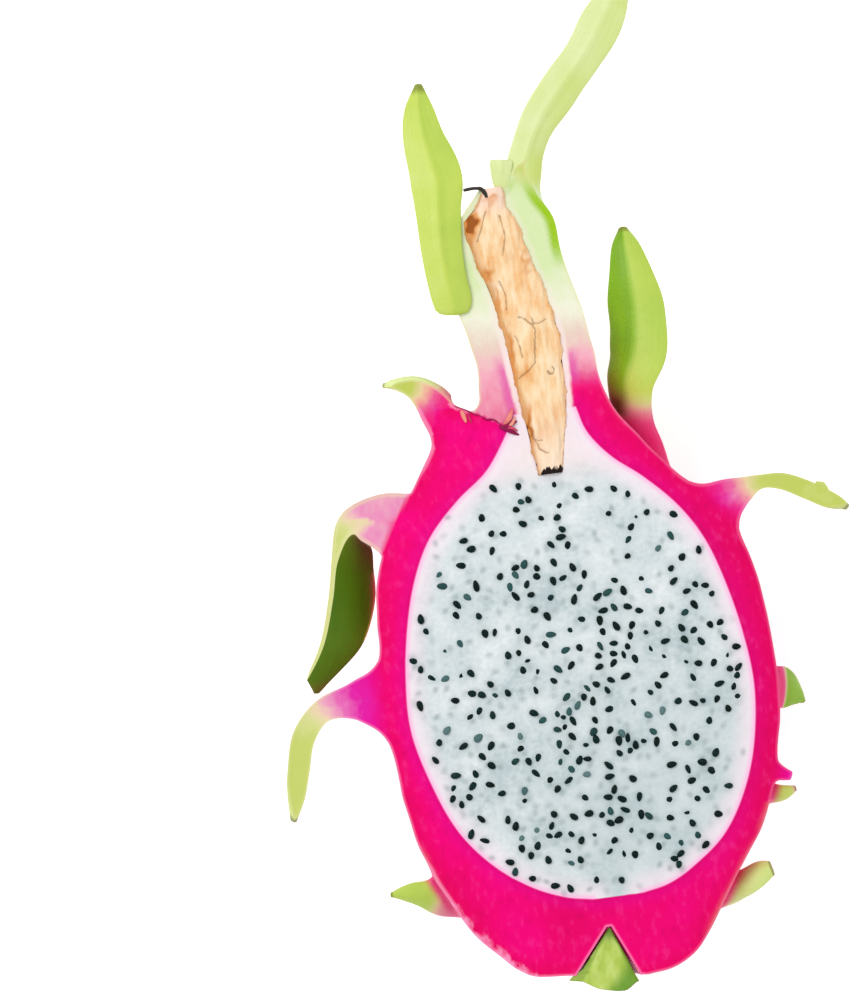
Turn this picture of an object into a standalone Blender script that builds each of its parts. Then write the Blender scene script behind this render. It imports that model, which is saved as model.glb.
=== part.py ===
"""Half of a dragon fruit, cut lengthwise and lying on its rind with the cut face up.

Run it with: blender --background --python part.py
The scene is in metres, +Z up, +Y towards the crown. The origin is the middle of the small flat
spot on the underside that the fruit rests on. Named sizes below are in millimetres and are turned
into metres when a mesh is made. Heights (z) in the shape tables are measured from the cut plane.

The pieces:
  rind          the pink skin with its leaf-like bracts, which grew as one piece
  pulp          the white flesh, seated in the hollow of the rind
  dried_flower  the withered flower tube, lying in the groove at the crown
  stem_stub     the green end of the cactus stem, in the dimple at the stem end
"""

import math

import bmesh
import bpy
import numpy as np
from mathutils import Vector

MM = 0.001

# Driving sizes, in millimetres
BODY_LENGTH = 126.0  # stem end to the top of the shoulders
BODY_WIDTH = 86.6  # across the cut face
BODY_DEPTH = 43.5  # cut face to the back of the round fruit
REST_SAG = 1.5  # how much of the back is pressed flat where it rests
RIND_WALL = 5.6  # rind beside and behind the pulp
RIND_BASE = 18.0  # rind below the pulp, at the stem end
FLOWER_WIDTH = 12.0  # the dried flower tube, at its widest
FLOWER_LENGTH = 64.0
FLOWER_SEAT = 14.0  # how far the dried flower reaches down past the shoulders into the pulp
PULP_COLLAR = 2.0  # pulp round the dried flower at the shoulders
NECK_LENGTH = 40.0  # the sheath round the dried flower, above the shoulders
STEM_WIDTH = 12.6  # the stem stub where it leaves the fruit
STEM_SEAT = 11.5  # depth of the dimple that the stub sits in
STEM_PROUD = 1.0  # how far the stub stands out of the dimple
STEM_SLACK = 0.9  # how much wider the dimple's mouth is than the stub, on each side
CLEARANCE = 0.3  # gap between pieces that touch
BRACT_SIZE = 1.0  # all the bracts, larger or smaller together

HALF_WIDTH = BODY_WIDTH / 2
CUT_HEIGHT = BODY_DEPTH - REST_SAG
STEM_END = -0.48 * BODY_LENGTH  # y of the stem end; the flat spot is at y = 0
SHOULDER = STEM_END + BODY_LENGTH
STEM_POINT_X = -0.9  # the stub's point, inside the fruit
STEM_END_X = -2.7  # the middle of the stub's cut end
KNIFE_ROOM = 30.0  # how far the upper half, which is cut away, stands above the cut plane

# Resolution
RING_POINTS = 40
BODY_RINGS = 34
PULP_RINGS = 22
FLOWER_RINGS = 12
BRACT_POINTS = 10
BRACT_RINGS = 12

# The body from stem end to shoulders: share of the length, then how far it reaches to the left, to
# the right (shares of the half width) and to the back (share of the depth)
BODY_SHAPE = [
    (0.000, 0.26, 0.14, 0.20),
    (0.006, 0.42, 0.27, 0.33),
    (0.022, 0.50, 0.37, 0.42),
    (0.048, 0.57, 0.45, 0.51),
    (0.111, 0.71, 0.58, 0.67),
    (0.175, 0.82, 0.71, 0.78),
    (0.254, 0.91, 0.85, 0.885),
    (0.349, 0.97, 0.945, 0.965),
    (0.460, 1.00, 0.99, 1.00),
    (0.571, 1.00, 0.99, 0.985),
    (0.683, 0.98, 0.955, 0.93),
    (0.762, 0.945, 0.88, 0.85),
    (0.825, 0.86, 0.73, 0.745),
    (0.889, 0.73, 0.56, 0.61),
    (0.952, 0.61, 0.42, 0.47),
    (0.985, 0.52, 0.36, 0.40),
]

# The sheath round the dried flower: share of the neck's length above the shoulders, then the wall
# left of the flower, right of it and behind it, in millimetres
NECK_SHAPE = [
    (0.06, 12.6, 8.8, 10.0),
    (0.16, 9.4, 7.8, 8.2),
    (0.35, 7.6, 6.8, 6.6),
    (0.62, 6.4, 6.3, 5.2),
    (0.88, 3.4, 6.6, 3.8),
    (1.00, 1.8, 6.2, 3.0),
]

# The pulp from its lowest point to the shoulders: share of that length, then left, right and back
# as shares of the pulp's own half width and depth
PULP_SHAPE = [
    (0.000, 0.10, 0.20, 0.16),
    (0.012, 0.26, 0.36, 0.38),
    (0.042, 0.45, 0.52, 0.54),
    (0.095, 0.65, 0.71, 0.71),
    (0.170, 0.82, 0.85, 0.85),
    (0.265, 0.935, 0.95, 0.95),
    (0.385, 1.02, 1.00, 1.00),
    (0.500, 1.01, 0.975, 0.975),
    (0.610, 0.955, 0.91, 0.91),
    (0.700, 0.875, 0.825, 0.81),
    (0.775, 0.76, 0.695, 0.675),
    (0.840, 0.58, 0.52, 0.51),
    (0.890, 0.395, 0.35, 0.375),
    (0.945, 0.275, 0.23, 0.29),
]

# The dried flower from its lower end: share of its length, sideways lean in millimetres, and half
# width as a share of its widest
FLOWER_SHAPE = [
    (0.00, -0.6, 0.42),
    (0.06, -0.4, 0.55),
    (0.24, 0.0, 0.84),
    (0.38, -0.4, 0.95),
    (0.50, -0.9, 1.00),
    (0.64, -2.6, 1.00),
    (0.80, -5.5, 0.96),
    (0.94, -7.6, 0.83),
    (1.00, -6.6, 0.40),
]

# Each bract: share of the body's length and turn round it (0 right rim, 90 back, 180 left rim) of
# its root on the skin, then rows of (x, y, z) from that root, half width and half thickness, all in
# millimetres, and the direction of its broad side at the root and at the tip
BRACTS = {
    "left_arch": (
        0.833,
        180,
        [
            (6.0, -3.5, 0.0, 16.0, 9.0),
            (0.0, 0.5, 0.0, 15.0, 7.4),
            (-6.0, 3.0, 0.0, 14.0, 3.8),
            (-10.6, 0.8, 0.0, 13.5, 1.5),
            (-13.8, -5.5, 0.0, 13.5, 1.1),
            (-16.4, -14.0, 0.0, 12.5, 1.0),
            (-19.2, -24.5, -1.0, 8.5, 0.9),
            (-22.8, -34.7, -4.0, 0.8, 0.5),
        ],
        (0.1, 0.0, -1.0),
        (0.8, 0.0, -0.7),
    ),
    "left_hook": (
        0.532,
        180,
        [
            (7.0, -0.5, 0.0, 15.0, 14.0),
            (0.5, 0.5, 0.0, 14.0, 9.5),
            (-6.7, 1.0, 0.0, 13.0, 4.2),
            (-13.7, -0.4, 0.0, 12.0, 2.2),
            (-18.4, -5.5, 0.0, 10.5, 1.6),
            (-20.6, -12.5, 0.0, 8.5, 1.4),
            (-22.0, -18.0, -0.5, 5.5, 1.1),
            (-23.7, -23.5, -2.0, 0.8, 0.5),
        ],
        (0.0, 0.0, -1.0),
        (0.35, 0.0, -0.94),
    ),
    "right_wing": (
        0.798,
        0,
        [
            (-5.5, -3.0, 0.0, 14.0, 9.0),
            (0.5, -0.5, 0.0, 13.0, 6.8),
            (6.0, 2.3, 0.0, 12.0, 3.2),
            (10.5, 3.8, 0.0, 11.0, 1.4),
            (15.5, 3.3, 0.0, 9.5, 1.4),
            (20.5, 0.8, 0.0, 7.5, 1.5),
            (25.0, -2.0, -0.5, 4.5, 1.4),
            (29.1, -4.3, -2.0, 0.8, 0.6),
        ],
        (0.0, 0.0, -1.0),
        (0.0, -0.25, -0.97),
    ),
    "right_shoulder": (
        0.889,
        32,
        [
            (-2.0, -8.0, -1.0, 10.0, 5.0),
            (0.5, 0.0, 0.0, 9.0, 3.5),
            (-0.6, 9.0, 4.0, 6.0, 1.8),
            (-0.6, 17.0, 7.0, 6.0, 1.3),
            (2.0, 24.5, 8.0, 7.0, 1.3),
            (3.2, 33.0, 8.0, 6.6, 1.3),
            (3.1, 41.0, 8.0, 5.0, 1.1),
            (2.8, 48.0, 7.0, 3.3, 0.9),
            (2.9, 52.3, 5.5, 0.9, 0.5),
        ],
        (-0.65, 0.0, -0.75),
        (-1.0, 0.0, -0.15),
    ),
    "left_curl": (
        0.952,
        178,
        [
            (8.0, -6.0, -2.0, 10.0, 6.0),
            (5.0, 3.0, -1.5, 9.0, 4.8),
            (2.6, 9.5, -1.0, 7.5, 3.8),
            (-0.8, 14.0, -0.8, 5.5, 2.5),
            (-4.6, 15.8, -1.0, 3.0, 1.3),
            (-8.2, 16.2, -2.0, 0.6, 0.4),
        ],
        (0.0, 0.0, -1.0),
        (0.0, 0.2, -1.0),
    ),
    "left_base": (
        0.190,
        170,
        [
            (8.0, -2.5, -2.0, 8.0, 4.5),
            (1.5, -1.5, 0.5, 6.5, 3.0),
            (-4.5, 0.0, 3.0, 3.7, 1.6),
            (-8.6, 0.6, 4.0, 2.0, 1.1),
            (-12.0, 0.7, 4.5, 0.5, 0.4),
        ],
        (0.1, -0.8, -0.6),
        (0.0, -1.0, -0.3),
    ),
    "right_base": (
        0.135,
        18,
        [
            (-7.5, 1.0, -2.0, 7.0, 4.5),
            (-0.5, -1.5, 1.5, 5.2, 3.2),
            (4.2, -0.5, 3.5, 3.7, 2.3),
            (8.0, 1.2, 4.5, 3.0, 1.9),
            (11.0, 2.0, 5.0, 1.6, 1.1),
        ],
        (0.3, 0.8, -0.5),
        (0.3, 0.95, -0.2),
    ),
    "right_spur": (
        0.325,
        0,
        [
            (-7.0, 4.5, 0.0, 8.0, 5.5),
            (-2.0, 1.0, 0.0, 6.0, 3.6),
            (1.2, -1.0, 0.0, 3.5, 1.7),
            (4.0, -2.2, 0.0, 0.6, 0.4),
        ],
        (0.0, 0.0, -1.0),
        (0.0, 0.0, -1.0),
    ),
    "right_spur_leaf": (
        0.290,
        10,
        [
            (-6.5, 1.5, -1.0, 6.0, 3.5),
            (-1.0, -0.5, 1.0, 4.0, 2.4),
            (3.0, -1.2, 2.5, 2.4, 1.3),
            (6.5, -0.6, 3.0, 0.6, 0.5),
        ],
        (0.2, -0.8, -0.5),
        (0.2, -0.9, -0.3),
    ),
    "right_waist": (
        0.460,
        14,
        [
            (-6.0, 0.0, 2.0, 8.0, 4.0),
            (-0.5, 0.3, 0.0, 7.0, 2.8),
            (3.2, 0.4, -2.5, 5.2, 1.7),
            (5.6, 0.3, -5.0, 4.6, 1.3),
            (7.2, 0.2, -8.0, 4.0, 1.0),
        ],
        (0.0, 1.0, 0.0),
        (0.0, 1.0, 0.0),
    ),
    "back_base_right": (
        0.185,
        58,
        [
            (-5.0, -8.0, 5.0, 13.0, 5.0),
            (0.0, 0.0, 0.0, 12.0, 3.4),
            (4.0, 9.0, -1.5, 9.0, 1.9),
            (8.0, 18.0, 0.5, 6.5, 1.3),
            (12.0, 26.0, 4.0, 0.8, 0.5),
        ],
        (0.80, 0.1, -0.5),
        (0.75, -0.2, -0.6),
    ),
    "back_base_left": (
        0.215,
        124,
        [
            (5.0, -8.0, 5.0, 13.0, 5.0),
            (0.0, 0.0, 0.0, 12.0, 3.4),
            (-5.0, 9.0, -1.0, 9.0, 1.9),
            (-9.5, 17.0, 1.5, 6.0, 1.3),
            (-14.0, 23.0, 5.5, 0.8, 0.5),
        ],
        (-0.75, 0.1, -0.6),
        (-0.7, -0.2, -0.7),
    ),
    "back_waist_right": (
        0.520,
        46,
        [
            (-4.0, -8.0, 4.0, 14.0, 5.0),
            (0.0, 0.0, 0.0, 13.0, 3.4),
            (3.0, 9.0, -0.5, 9.5, 1.9),
            (5.0, 18.0, -0.5, 6.5, 1.3),
            (6.5, 27.0, 1.0, 0.8, 0.5),
        ],
        (0.68, 0.0, -0.73),
        (0.55, -0.2, -0.8),
    ),
    "back_waist_left": (
        0.410,
        144,
        [
            (5.0, -8.0, 4.0, 14.0, 5.0),
            (0.0, 0.0, 0.0, 13.0, 3.4),
            (-2.0, 8.5, -0.5, 9.5, 1.9),
            (-3.2, 17.0, 0.0, 6.5, 1.3),
            (-3.8, 25.5, 1.0, 0.8, 0.5),
        ],
        (-0.5, 0.0, -0.85),
        (-0.5, -0.2, -0.8),
    ),
    "back_left": (
        0.640,
        124,
        [
            (3.0, -8.0, 5.0, 13.0, 5.0),
            (0.0, 0.0, 0.0, 12.0, 3.2),
            (-2.0, 9.0, 0.6, 9.0, 1.7),
            (-3.8, 18.0, 2.6, 6.0, 1.2),
            (-5.0, 27.0, 6.5, 0.8, 0.5),
        ],
        (-0.75, 0.1, -0.6),
        (-0.7, -0.2, -0.6),
    ),
    "back_right": (
        0.745,
        62,
        [
            (-2.0, -8.0, 5.0, 12.0, 5.0),
            (0.0, 0.0, 0.0, 11.0, 3.2),
            (0.8, 8.0, 2.4, 8.5, 1.7),
            (0.6, 16.0, 5.5, 6.0, 1.2),
            (-0.5, 24.0, 9.5, 0.8, 0.5),
        ],
        (0.8, 0.1, -0.5),
        (0.8, -0.2, -0.5),
    ),
    "back_shoulder": (
        0.850,
        128,
        [
            (2.0, -8.0, -1.0, 11.0, 4.5),
            (0.0, 0.0, 0.0, 10.0, 3.0),
            (1.4, 7.0, 2.6, 7.5, 1.6),
            (3.6, 14.0, 5.0, 5.5, 1.2),
            (6.4, 20.5, 7.0, 0.8, 0.5),
        ],
        (-0.7, 0.1, -0.6),
        (-0.7, -0.1, -0.6),
    ),
    "back_crown": (
        0.930,
        84,
        [
            (0.0, -8.0, -1.0, 10.0, 4.5),
            (0.0, 0.0, 0.0, 9.0, 3.0),
            (-0.5, 12.0, 3.0, 6.5, 1.7),
            (-2.0, 25.0, 5.0, 6.5, 1.3),
            (-4.0, 39.0, 5.0, 5.0, 1.1),
            (-5.0, 49.0, 3.0, 0.8, 0.5),
        ],
        (1.0, 0.0, -0.1),
        (1.0, 0.1, 0.0),
    ),
}

# The two long bracts of the crown, from the end of the sheath: rows as above, measured from the
# middle of the dried flower where the sheath ends
CROWN_BRACTS = {
    "left_crown": (
        [
            (-10.4, -17.6, -3.2, 1.4, 0.9),
            (-11.0, -15.4, -2.8, 3.6, 1.2),
            (-11.6, -9.0, -2.2, 4.5, 1.4),
            (-11.8, -1.0, -2.0, 4.3, 1.4),
            (-11.3, 6.5, -2.5, 5.0, 1.4),
            (-10.9, 13.5, -3.0, 5.9, 1.3),
            (-12.4, 22.5, -3.5, 4.7, 1.2),
            (-12.7, 29.5, -4.5, 3.3, 1.0),
            (-12.1, 35.5, -6.0, 0.8, 0.5),
        ],
        (1.0, 0.0, -0.25),
        (1.0, 0.0, 0.1),
    ),
    "right_crown": (
        [
            (9.9, -12.0, -2.5, 3.2, 3.0),
            (9.1, -3.0, -2.0, 3.5, 2.8),
            (7.8, 5.0, -1.6, 4.0, 2.5),
            (8.0, 11.0, -1.6, 4.2, 2.0),
            (9.5, 17.0, -2.0, 3.8, 1.5),
            (13.2, 23.7, -2.0, 4.2, 1.3),
            (18.7, 30.2, -2.5, 4.4, 1.3),
            (24.7, 36.7, -3.0, 4.5, 1.2),
            (31.2, 45.7, -4.0, 4.4, 1.1),
            (38.2, 59.2, -8.0, 0.9, 0.5),
        ],
        (1.0, 0.0, -0.3),
        (1.0, 0.0, -0.1),
    ),
}


def through(rows, shares):
    """A smooth (Catmull-Rom) curve through the rows, read at shares of the way from first to last."""
    rows = np.asarray(rows, float)
    spans = len(rows) - 1
    padded = np.vstack([2 * rows[0] - rows[1], rows, 2 * rows[-1] - rows[-2]])
    place = np.clip(np.asarray(shares, float) * spans, 0, spans)
    index = np.minimum(place.astype(int), spans - 1)
    t = (place - index)[:, None]
    before, start, end, after = (padded[index + k] for k in range(4))
    return 0.5 * (
        2 * start
        + (end - before) * t
        + (2 * before - 5 * start + 4 * end - after) * t**2
        + (3 * start - before - 3 * end + after) * t**3
    )


def eased(count, ends=0.75):
    """Shares from 0 to 1 that crowd together towards both ends."""
    even = np.linspace(0, 1, count)
    return (1 - ends) * even + ends * (1 - np.cos(math.pi * even)) / 2


def flower_rows(grow=0.0):
    """(y, x, half width) of the dried flower's middle line, larger all round by grow."""
    low = SHOULDER - FLOWER_SEAT - grow
    length = FLOWER_LENGTH + 2 * grow
    return [
        (low + share * length, lean, width * FLOWER_WIDTH / 2 + grow)
        for share, lean, width in FLOWER_SHAPE
    ]


def flower_at(y):
    """(x, half width) of the dried flower at y."""
    rows = np.array(flower_rows())
    return np.interp(y, rows[:, 0], rows[:, 1]), np.interp(y, rows[:, 0], rows[:, 2])


def body_rows():
    """(y, left, right, back) of the rind, stem end to the end of the sheath."""
    rows = [
        (STEM_END + s * BODY_LENGTH, -left * HALF_WIDTH, right * HALF_WIDTH, back * BODY_DEPTH)
        for s, left, right, back in BODY_SHAPE
    ]
    for share, left, right, back in NECK_SHAPE:
        y = SHOULDER + share * NECK_LENGTH
        x, half = flower_at(y)
        rows.append((y, x - half - left, x + half + right, half + back))
    return rows


def pulp_rows(grow=0.0):
    """(y, left, right, back) of the pulp, larger all round by grow."""
    low = STEM_END + RIND_BASE - grow
    length = SHOULDER + grow - low
    half_width = HALF_WIDTH - RIND_WALL
    depth = BODY_DEPTH - RIND_WALL
    rows = [
        (
            low + s * length,
            -left * half_width - grow,
            right * half_width + grow,
            back * depth + grow,
        )
        for s, left, right, back in PULP_SHAPE
    ]
    x, half = flower_at(SHOULDER)
    collar = half + PULP_COLLAR + grow
    rows.append((low + length, x - collar, x + collar, collar))
    return rows


def ring(y, left, right, back):
    """One closed ring round the body: an ellipse below the cut plane, a flatter one above it."""
    turn = np.linspace(0, 2 * math.pi, RING_POINTS, endpoint=False)
    middle, half = (left + right) / 2, (right - left) / 2
    above = min(back, KNIFE_ROOM / 2)
    reach = np.where(np.sin(turn) < 0, back, above)
    across = middle + half * np.cos(turn)
    return np.stack([across, np.full_like(turn, y), reach * np.sin(turn)], axis=1)


def skin_point(share, turn):
    """The point on the body's skin at that share of its length and that turn, in degrees."""
    shape = np.array(BODY_SHAPE)
    left, right, back = (np.interp(share, shape[:, 0], shape[:, k]) for k in (1, 2, 3))
    middle, half = (right - left) / 2 * HALF_WIDTH, (right + left) / 2 * HALF_WIDTH
    angle = math.radians(turn)
    return np.array(
        [
            middle + half * math.cos(angle),
            STEM_END + share * BODY_LENGTH,
            -back * BODY_DEPTH * math.sin(angle),
        ]
    )


def material(name, colour, roughness):
    made = bpy.data.materials.new(name)
    made.use_nodes = True
    shader = made.node_tree.nodes["Principled BSDF"]
    shader.inputs["Base Color"].default_value = (*colour, 1.0)
    shader.inputs["Roughness"].default_value = roughness
    return made


def solid(name, rings, look=None):
    """A closed solid lofted through the rings, in millimetres from the cut plane, as one object."""
    mesh = bmesh.new()
    loops = []
    for points in rings:
        lifted = np.asarray(points) + (0, 0, CUT_HEIGHT)
        loops.append([mesh.verts.new(Vector(p * MM)) for p in lifted])
    count = len(loops[0])
    for lower, upper in zip(loops, loops[1:]):
        for k in range(count):
            following = (k + 1) % count
            mesh.faces.new((lower[k], lower[following], upper[following], upper[k]))
    mesh.faces.new(loops[0][::-1])
    mesh.faces.new(loops[-1])
    bmesh.ops.recalc_face_normals(mesh, faces=mesh.faces)
    data = bpy.data.meshes.new(name)
    mesh.to_mesh(data)
    mesh.free()
    data.shade_smooth()
    data.set_sharp_from_angle(angle=math.radians(40))
    made = bpy.data.objects.new(name, data)
    bpy.context.scene.collection.objects.link(made)
    if look:
        data.materials.append(look)
    return made


def helper(made):
    """Marks an object that only joins to or cuts another."""
    made.hide_render = True
    made.display_type = "WIRE"
    return made


def boolean(target, name, helpers, operation):
    """Joins the helpers to the target all at once, or cuts them all away from it."""
    group = bpy.data.collections.new(name)
    for made in helpers:
        group.objects.link(made)
    modifier = target.modifiers.new(name, "BOOLEAN")
    modifier.operation = operation
    modifier.solver = "EXACT"
    modifier.operand_type = "COLLECTION"
    modifier.collection = group


def block(name, low, high):
    """A plain box between two corners, in millimetres, as a cutter."""
    mesh = bmesh.new()
    bmesh.ops.create_cube(mesh, size=1.0)
    size = Vector(high) - Vector(low)
    middle = (Vector(high) + Vector(low)) / 2
    for vertex in mesh.verts:
        vertex.co = Vector(a * b + c for a, b, c in zip(vertex.co, size, middle)) * MM
    data = bpy.data.meshes.new(name)
    mesh.to_mesh(data)
    mesh.free()
    made = bpy.data.objects.new(name, data)
    bpy.context.scene.collection.objects.link(made)
    return helper(made)


def loft_rows(rows, count):
    """Rings read from a smooth curve through (y, left, right, back) rows."""
    return [ring(*row) for row in through(rows, eased(count))]


def flower_rings(grow=0.0):
    """Round rings along the dried flower, larger all round by grow."""
    rings = []
    turn = np.linspace(0, 2 * math.pi, 20, endpoint=False)
    for y, x, half in through(flower_rows(grow), np.linspace(0, 1, FLOWER_RINGS)):
        rings.append(np.stack([x + half * np.cos(turn), y + 0 * turn, half * np.sin(turn)], axis=1))
    return rings


def stem_rings(proud, grow=0.0, slack=0.0):
    """Rings of the three-ribbed stem stub, a point in the fruit widening to its cut end, or of its
    dimple: grow moves the surface out all over, and slack widens the mouth."""
    point = STEM_END + STEM_SEAT + 3 * grow
    turn = np.linspace(0, 2 * math.pi, 24, endpoint=False)
    ribbed = 1 + 0.07 * np.cos(3 * (turn + math.pi / 2))
    rings = []
    for share in (0.02, 0.35, 0.7, 1.0):
        y = point - share * (point - STEM_END + proud)
        run = (point - y) / STEM_SEAT
        middle = STEM_POINT_X + run * (STEM_END_X - STEM_POINT_X)
        width = run * (STEM_WIDTH / 2 * ribbed + slack) + grow
        rings.append(
            np.stack([middle + width * np.cos(turn), y + 0 * turn, width * np.sin(turn)], axis=1)
        )
    return rings


def bract_rings(start, rows, broad_root, broad_tip):
    """Rings of one bract: flat ovals along a smooth curve, turning from one broad side to the other."""
    rows = np.asarray(rows, float) * BRACT_SIZE
    read = through(rows, np.linspace(0, 1, BRACT_RINGS))
    spine = read[:, :3] + start
    along = np.gradient(spine, axis=0)
    along /= np.linalg.norm(along, axis=1)[:, None]
    blend = np.linspace(0, 1, BRACT_RINGS)
    blend = (blend**2 * (3 - 2 * blend))[:, None]
    broad = (1 - blend) * np.array(broad_root) + blend * np.array(broad_tip)
    broad -= (broad * along).sum(axis=1)[:, None] * along
    broad /= np.linalg.norm(broad, axis=1)[:, None]
    flat = np.cross(along, broad)
    turn = np.linspace(0, 2 * math.pi, BRACT_POINTS, endpoint=False)
    wide = np.maximum(read[:, 3], 0.5)[:, None, None] * np.cos(turn)[None, :, None]
    thick = np.maximum(read[:, 4], 0.35)[:, None, None] * np.sin(turn)[None, :, None]
    return spine[:, None] + wide * broad[:, None] + thick * flat[:, None]


def make_bracts():
    """All the bracts, as solids to be joined to the rind."""
    made = []
    for name, (share, turn, rows, root, tip) in BRACTS.items():
        made.append(solid(name, bract_rings(skin_point(share, turn), rows, root, tip)))
    end_y = SHOULDER + NECK_LENGTH
    end = np.array([flower_at(end_y)[0], end_y, 0.0])
    for name, (rows, root, tip) in CROWN_BRACTS.items():
        made.append(solid(name, bract_rings(end, rows, root, tip)))
    return [helper(bract) for bract in made]


def main():
    for old in list(bpy.data.objects):
        bpy.data.objects.remove(old)
    pink = material("rind_skin", (0.80, 0.02, 0.20), 0.45)
    white = material("pulp_flesh", (0.66, 0.72, 0.72), 0.35)
    tan = material("dried_flower_tissue", (0.72, 0.50, 0.28), 0.85)
    green = material("stem_green", (0.36, 0.55, 0.07), 0.5)

    rind = solid("rind", loft_rows(body_rows(), BODY_RINGS), pink)
    pulp = solid("pulp", loft_rows(pulp_rows(), PULP_RINGS), white)
    flower = solid("dried_flower", flower_rings(), tan)
    stem = solid("stem_stub", stem_rings(STEM_PROUD), green)

    hollow = helper(solid("pulp_hollow", loft_rows(pulp_rows(CLEARANCE), PULP_RINGS)))
    groove = helper(solid("flower_groove", flower_rings(CLEARANCE)))
    dimple = helper(solid("stem_dimple", stem_rings(STEM_PROUD + STEM_SEAT, CLEARANCE, STEM_SLACK)))
    reach = 3 * BODY_LENGTH
    knife = block("knife", (-reach, -reach, CUT_HEIGHT), (reach, reach, CUT_HEIGHT + 2 * KNIFE_ROOM))
    table = block("table", (-reach, -reach, -2 * KNIFE_ROOM), (reach, reach, 0))

    boolean(rind, "bracts", make_bracts(), "UNION")
    boolean(rind, "rind cutters", (hollow, groove, dimple, knife, table), "DIFFERENCE")
    boolean(pulp, "pulp cutters", (groove, knife), "DIFFERENCE")
    boolean(flower, "flower cutter", (knife,), "DIFFERENCE")
    boolean(stem, "stem cutter", (knife,), "DIFFERENCE")


main()
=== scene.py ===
"""Looks of the cut dragon fruit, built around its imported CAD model.

Shapes are worked out in millimetres, in the model's frame but with z measured from the cut plane: 0 on
the cut face, negative below it. piece() moves them up to the cut face's height, in metres.
"""

import math

import bmesh
import bpy
import numpy as np
from mathutils import Matrix, Vector, geometry, kdtree


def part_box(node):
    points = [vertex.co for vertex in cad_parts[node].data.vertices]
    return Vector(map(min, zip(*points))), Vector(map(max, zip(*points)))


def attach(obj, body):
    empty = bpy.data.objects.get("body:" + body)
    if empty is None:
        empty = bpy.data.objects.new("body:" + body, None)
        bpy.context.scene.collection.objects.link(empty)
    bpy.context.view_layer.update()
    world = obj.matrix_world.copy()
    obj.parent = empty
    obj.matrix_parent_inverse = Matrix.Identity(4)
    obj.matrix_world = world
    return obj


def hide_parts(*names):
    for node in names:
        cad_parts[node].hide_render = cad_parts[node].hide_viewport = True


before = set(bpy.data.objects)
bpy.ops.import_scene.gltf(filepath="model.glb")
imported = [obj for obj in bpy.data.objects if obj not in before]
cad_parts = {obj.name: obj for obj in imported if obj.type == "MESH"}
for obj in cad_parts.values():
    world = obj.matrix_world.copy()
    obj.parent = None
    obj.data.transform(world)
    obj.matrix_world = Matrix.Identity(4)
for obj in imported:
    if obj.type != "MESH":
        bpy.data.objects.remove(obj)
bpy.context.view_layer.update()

MM = 0.001

# Sizes in mm, as in the CAD model, but with the stem stub 1.2 mm wider and closer to its dimple
CUT_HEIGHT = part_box("pulp")[1].z / MM
STEM_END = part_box("rind")[0].y / MM
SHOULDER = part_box("pulp")[1].y / MM
BODY_LENGTH = SHOULDER - STEM_END
HALF_WIDTH = 43.3
BODY_DEPTH = 43.5
RIND_WALL = 5.6
RIND_BASE = 18.0
FLOWER_WIDTH = 12.0
FLOWER_LENGTH = 64.0
FLOWER_SEAT = 14.0
PULP_COLLAR = 2.0
NECK_LENGTH = 40.0
STEM_WIDTH = 13.8
STEM_SEAT = 11.5
STEM_PROUD = 1.0
STEM_SLACK = 0.35
STEM_POINT_X = -0.9
STEM_END_X = -3.1
NECK_END_X = -5.93  # the middle of the neck's end, where the crown's bracts start
OVERLAP = 0.06  # how far the pulp, the flower and their seats reach into each other, so no gap shows
KNIFE_ROOM = 30.0  # height of the body above the cut plane, before the cut

# Share of the body's length, then its reach to the left, to the right and to the back
BODY_SHAPE = [
    (0.000, 0.26, 0.14, 0.20), (0.006, 0.42, 0.27, 0.33), (0.022, 0.50, 0.37, 0.42),
    (0.048, 0.57, 0.45, 0.51), (0.111, 0.71, 0.58, 0.67), (0.175, 0.82, 0.71, 0.78),
    (0.254, 0.91, 0.85, 0.885), (0.349, 0.97, 0.945, 0.965), (0.460, 1.00, 0.99, 1.00),
    (0.571, 1.00, 0.99, 0.985), (0.683, 0.98, 0.955, 0.93), (0.762, 0.945, 0.88, 0.85),
    (0.825, 0.86, 0.73, 0.745), (0.889, 0.73, 0.56, 0.61), (0.952, 0.61, 0.42, 0.47),
    (0.985, 0.52, 0.36, 0.40),
]

# Share of the neck's length, then its wall left of the dried flower, right of it and behind it
NECK_SHAPE = [
    (0.06, 9.8, 8.8, 10.0), (0.16, 8.3, 7.8, 8.2), (0.35, 7.5, 6.8, 6.6), (0.62, 8.4, 6.3, 5.2),
    (0.88, 6.6, 7.0, 3.8), (1.00, 4.0, 8.6, 3.0), (1.12, 1.4, 8.4, 2.4), (1.26, 0.3, 2.6, 1.4),
]

# Share of the pulp's length, then left, right and back as shares of its half width and depth
PULP_SHAPE = [
    (0.000, 0.10, 0.20, 0.16), (0.012, 0.26, 0.36, 0.38), (0.042, 0.45, 0.52, 0.54),
    (0.095, 0.65, 0.71, 0.71), (0.170, 0.82, 0.85, 0.85), (0.265, 0.935, 0.95, 0.95),
    (0.385, 1.02, 1.00, 1.00), (0.500, 1.01, 0.975, 0.975), (0.610, 0.955, 0.91, 0.91),
    (0.700, 0.875, 0.825, 0.81), (0.775, 0.76, 0.695, 0.675), (0.840, 0.58, 0.52, 0.51),
    (0.890, 0.395, 0.35, 0.375), (0.945, 0.275, 0.23, 0.29),
]

# Share of the dried flower's length, its sideways lean, and its half width as a share of the widest
FLOWER_SHAPE = [
    (0.00, -0.6, 0.42), (0.06, -0.4, 0.55), (0.24, 0.0, 0.84), (0.38, -0.4, 0.95), (0.50, -0.9, 1.00),
    (0.64, -2.6, 1.00), (0.76, -4.8, 1.00), (0.88, -6.6, 0.95), (0.94, -6.0, 0.58), (1.00, -4.8, 0.36),
]

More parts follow.
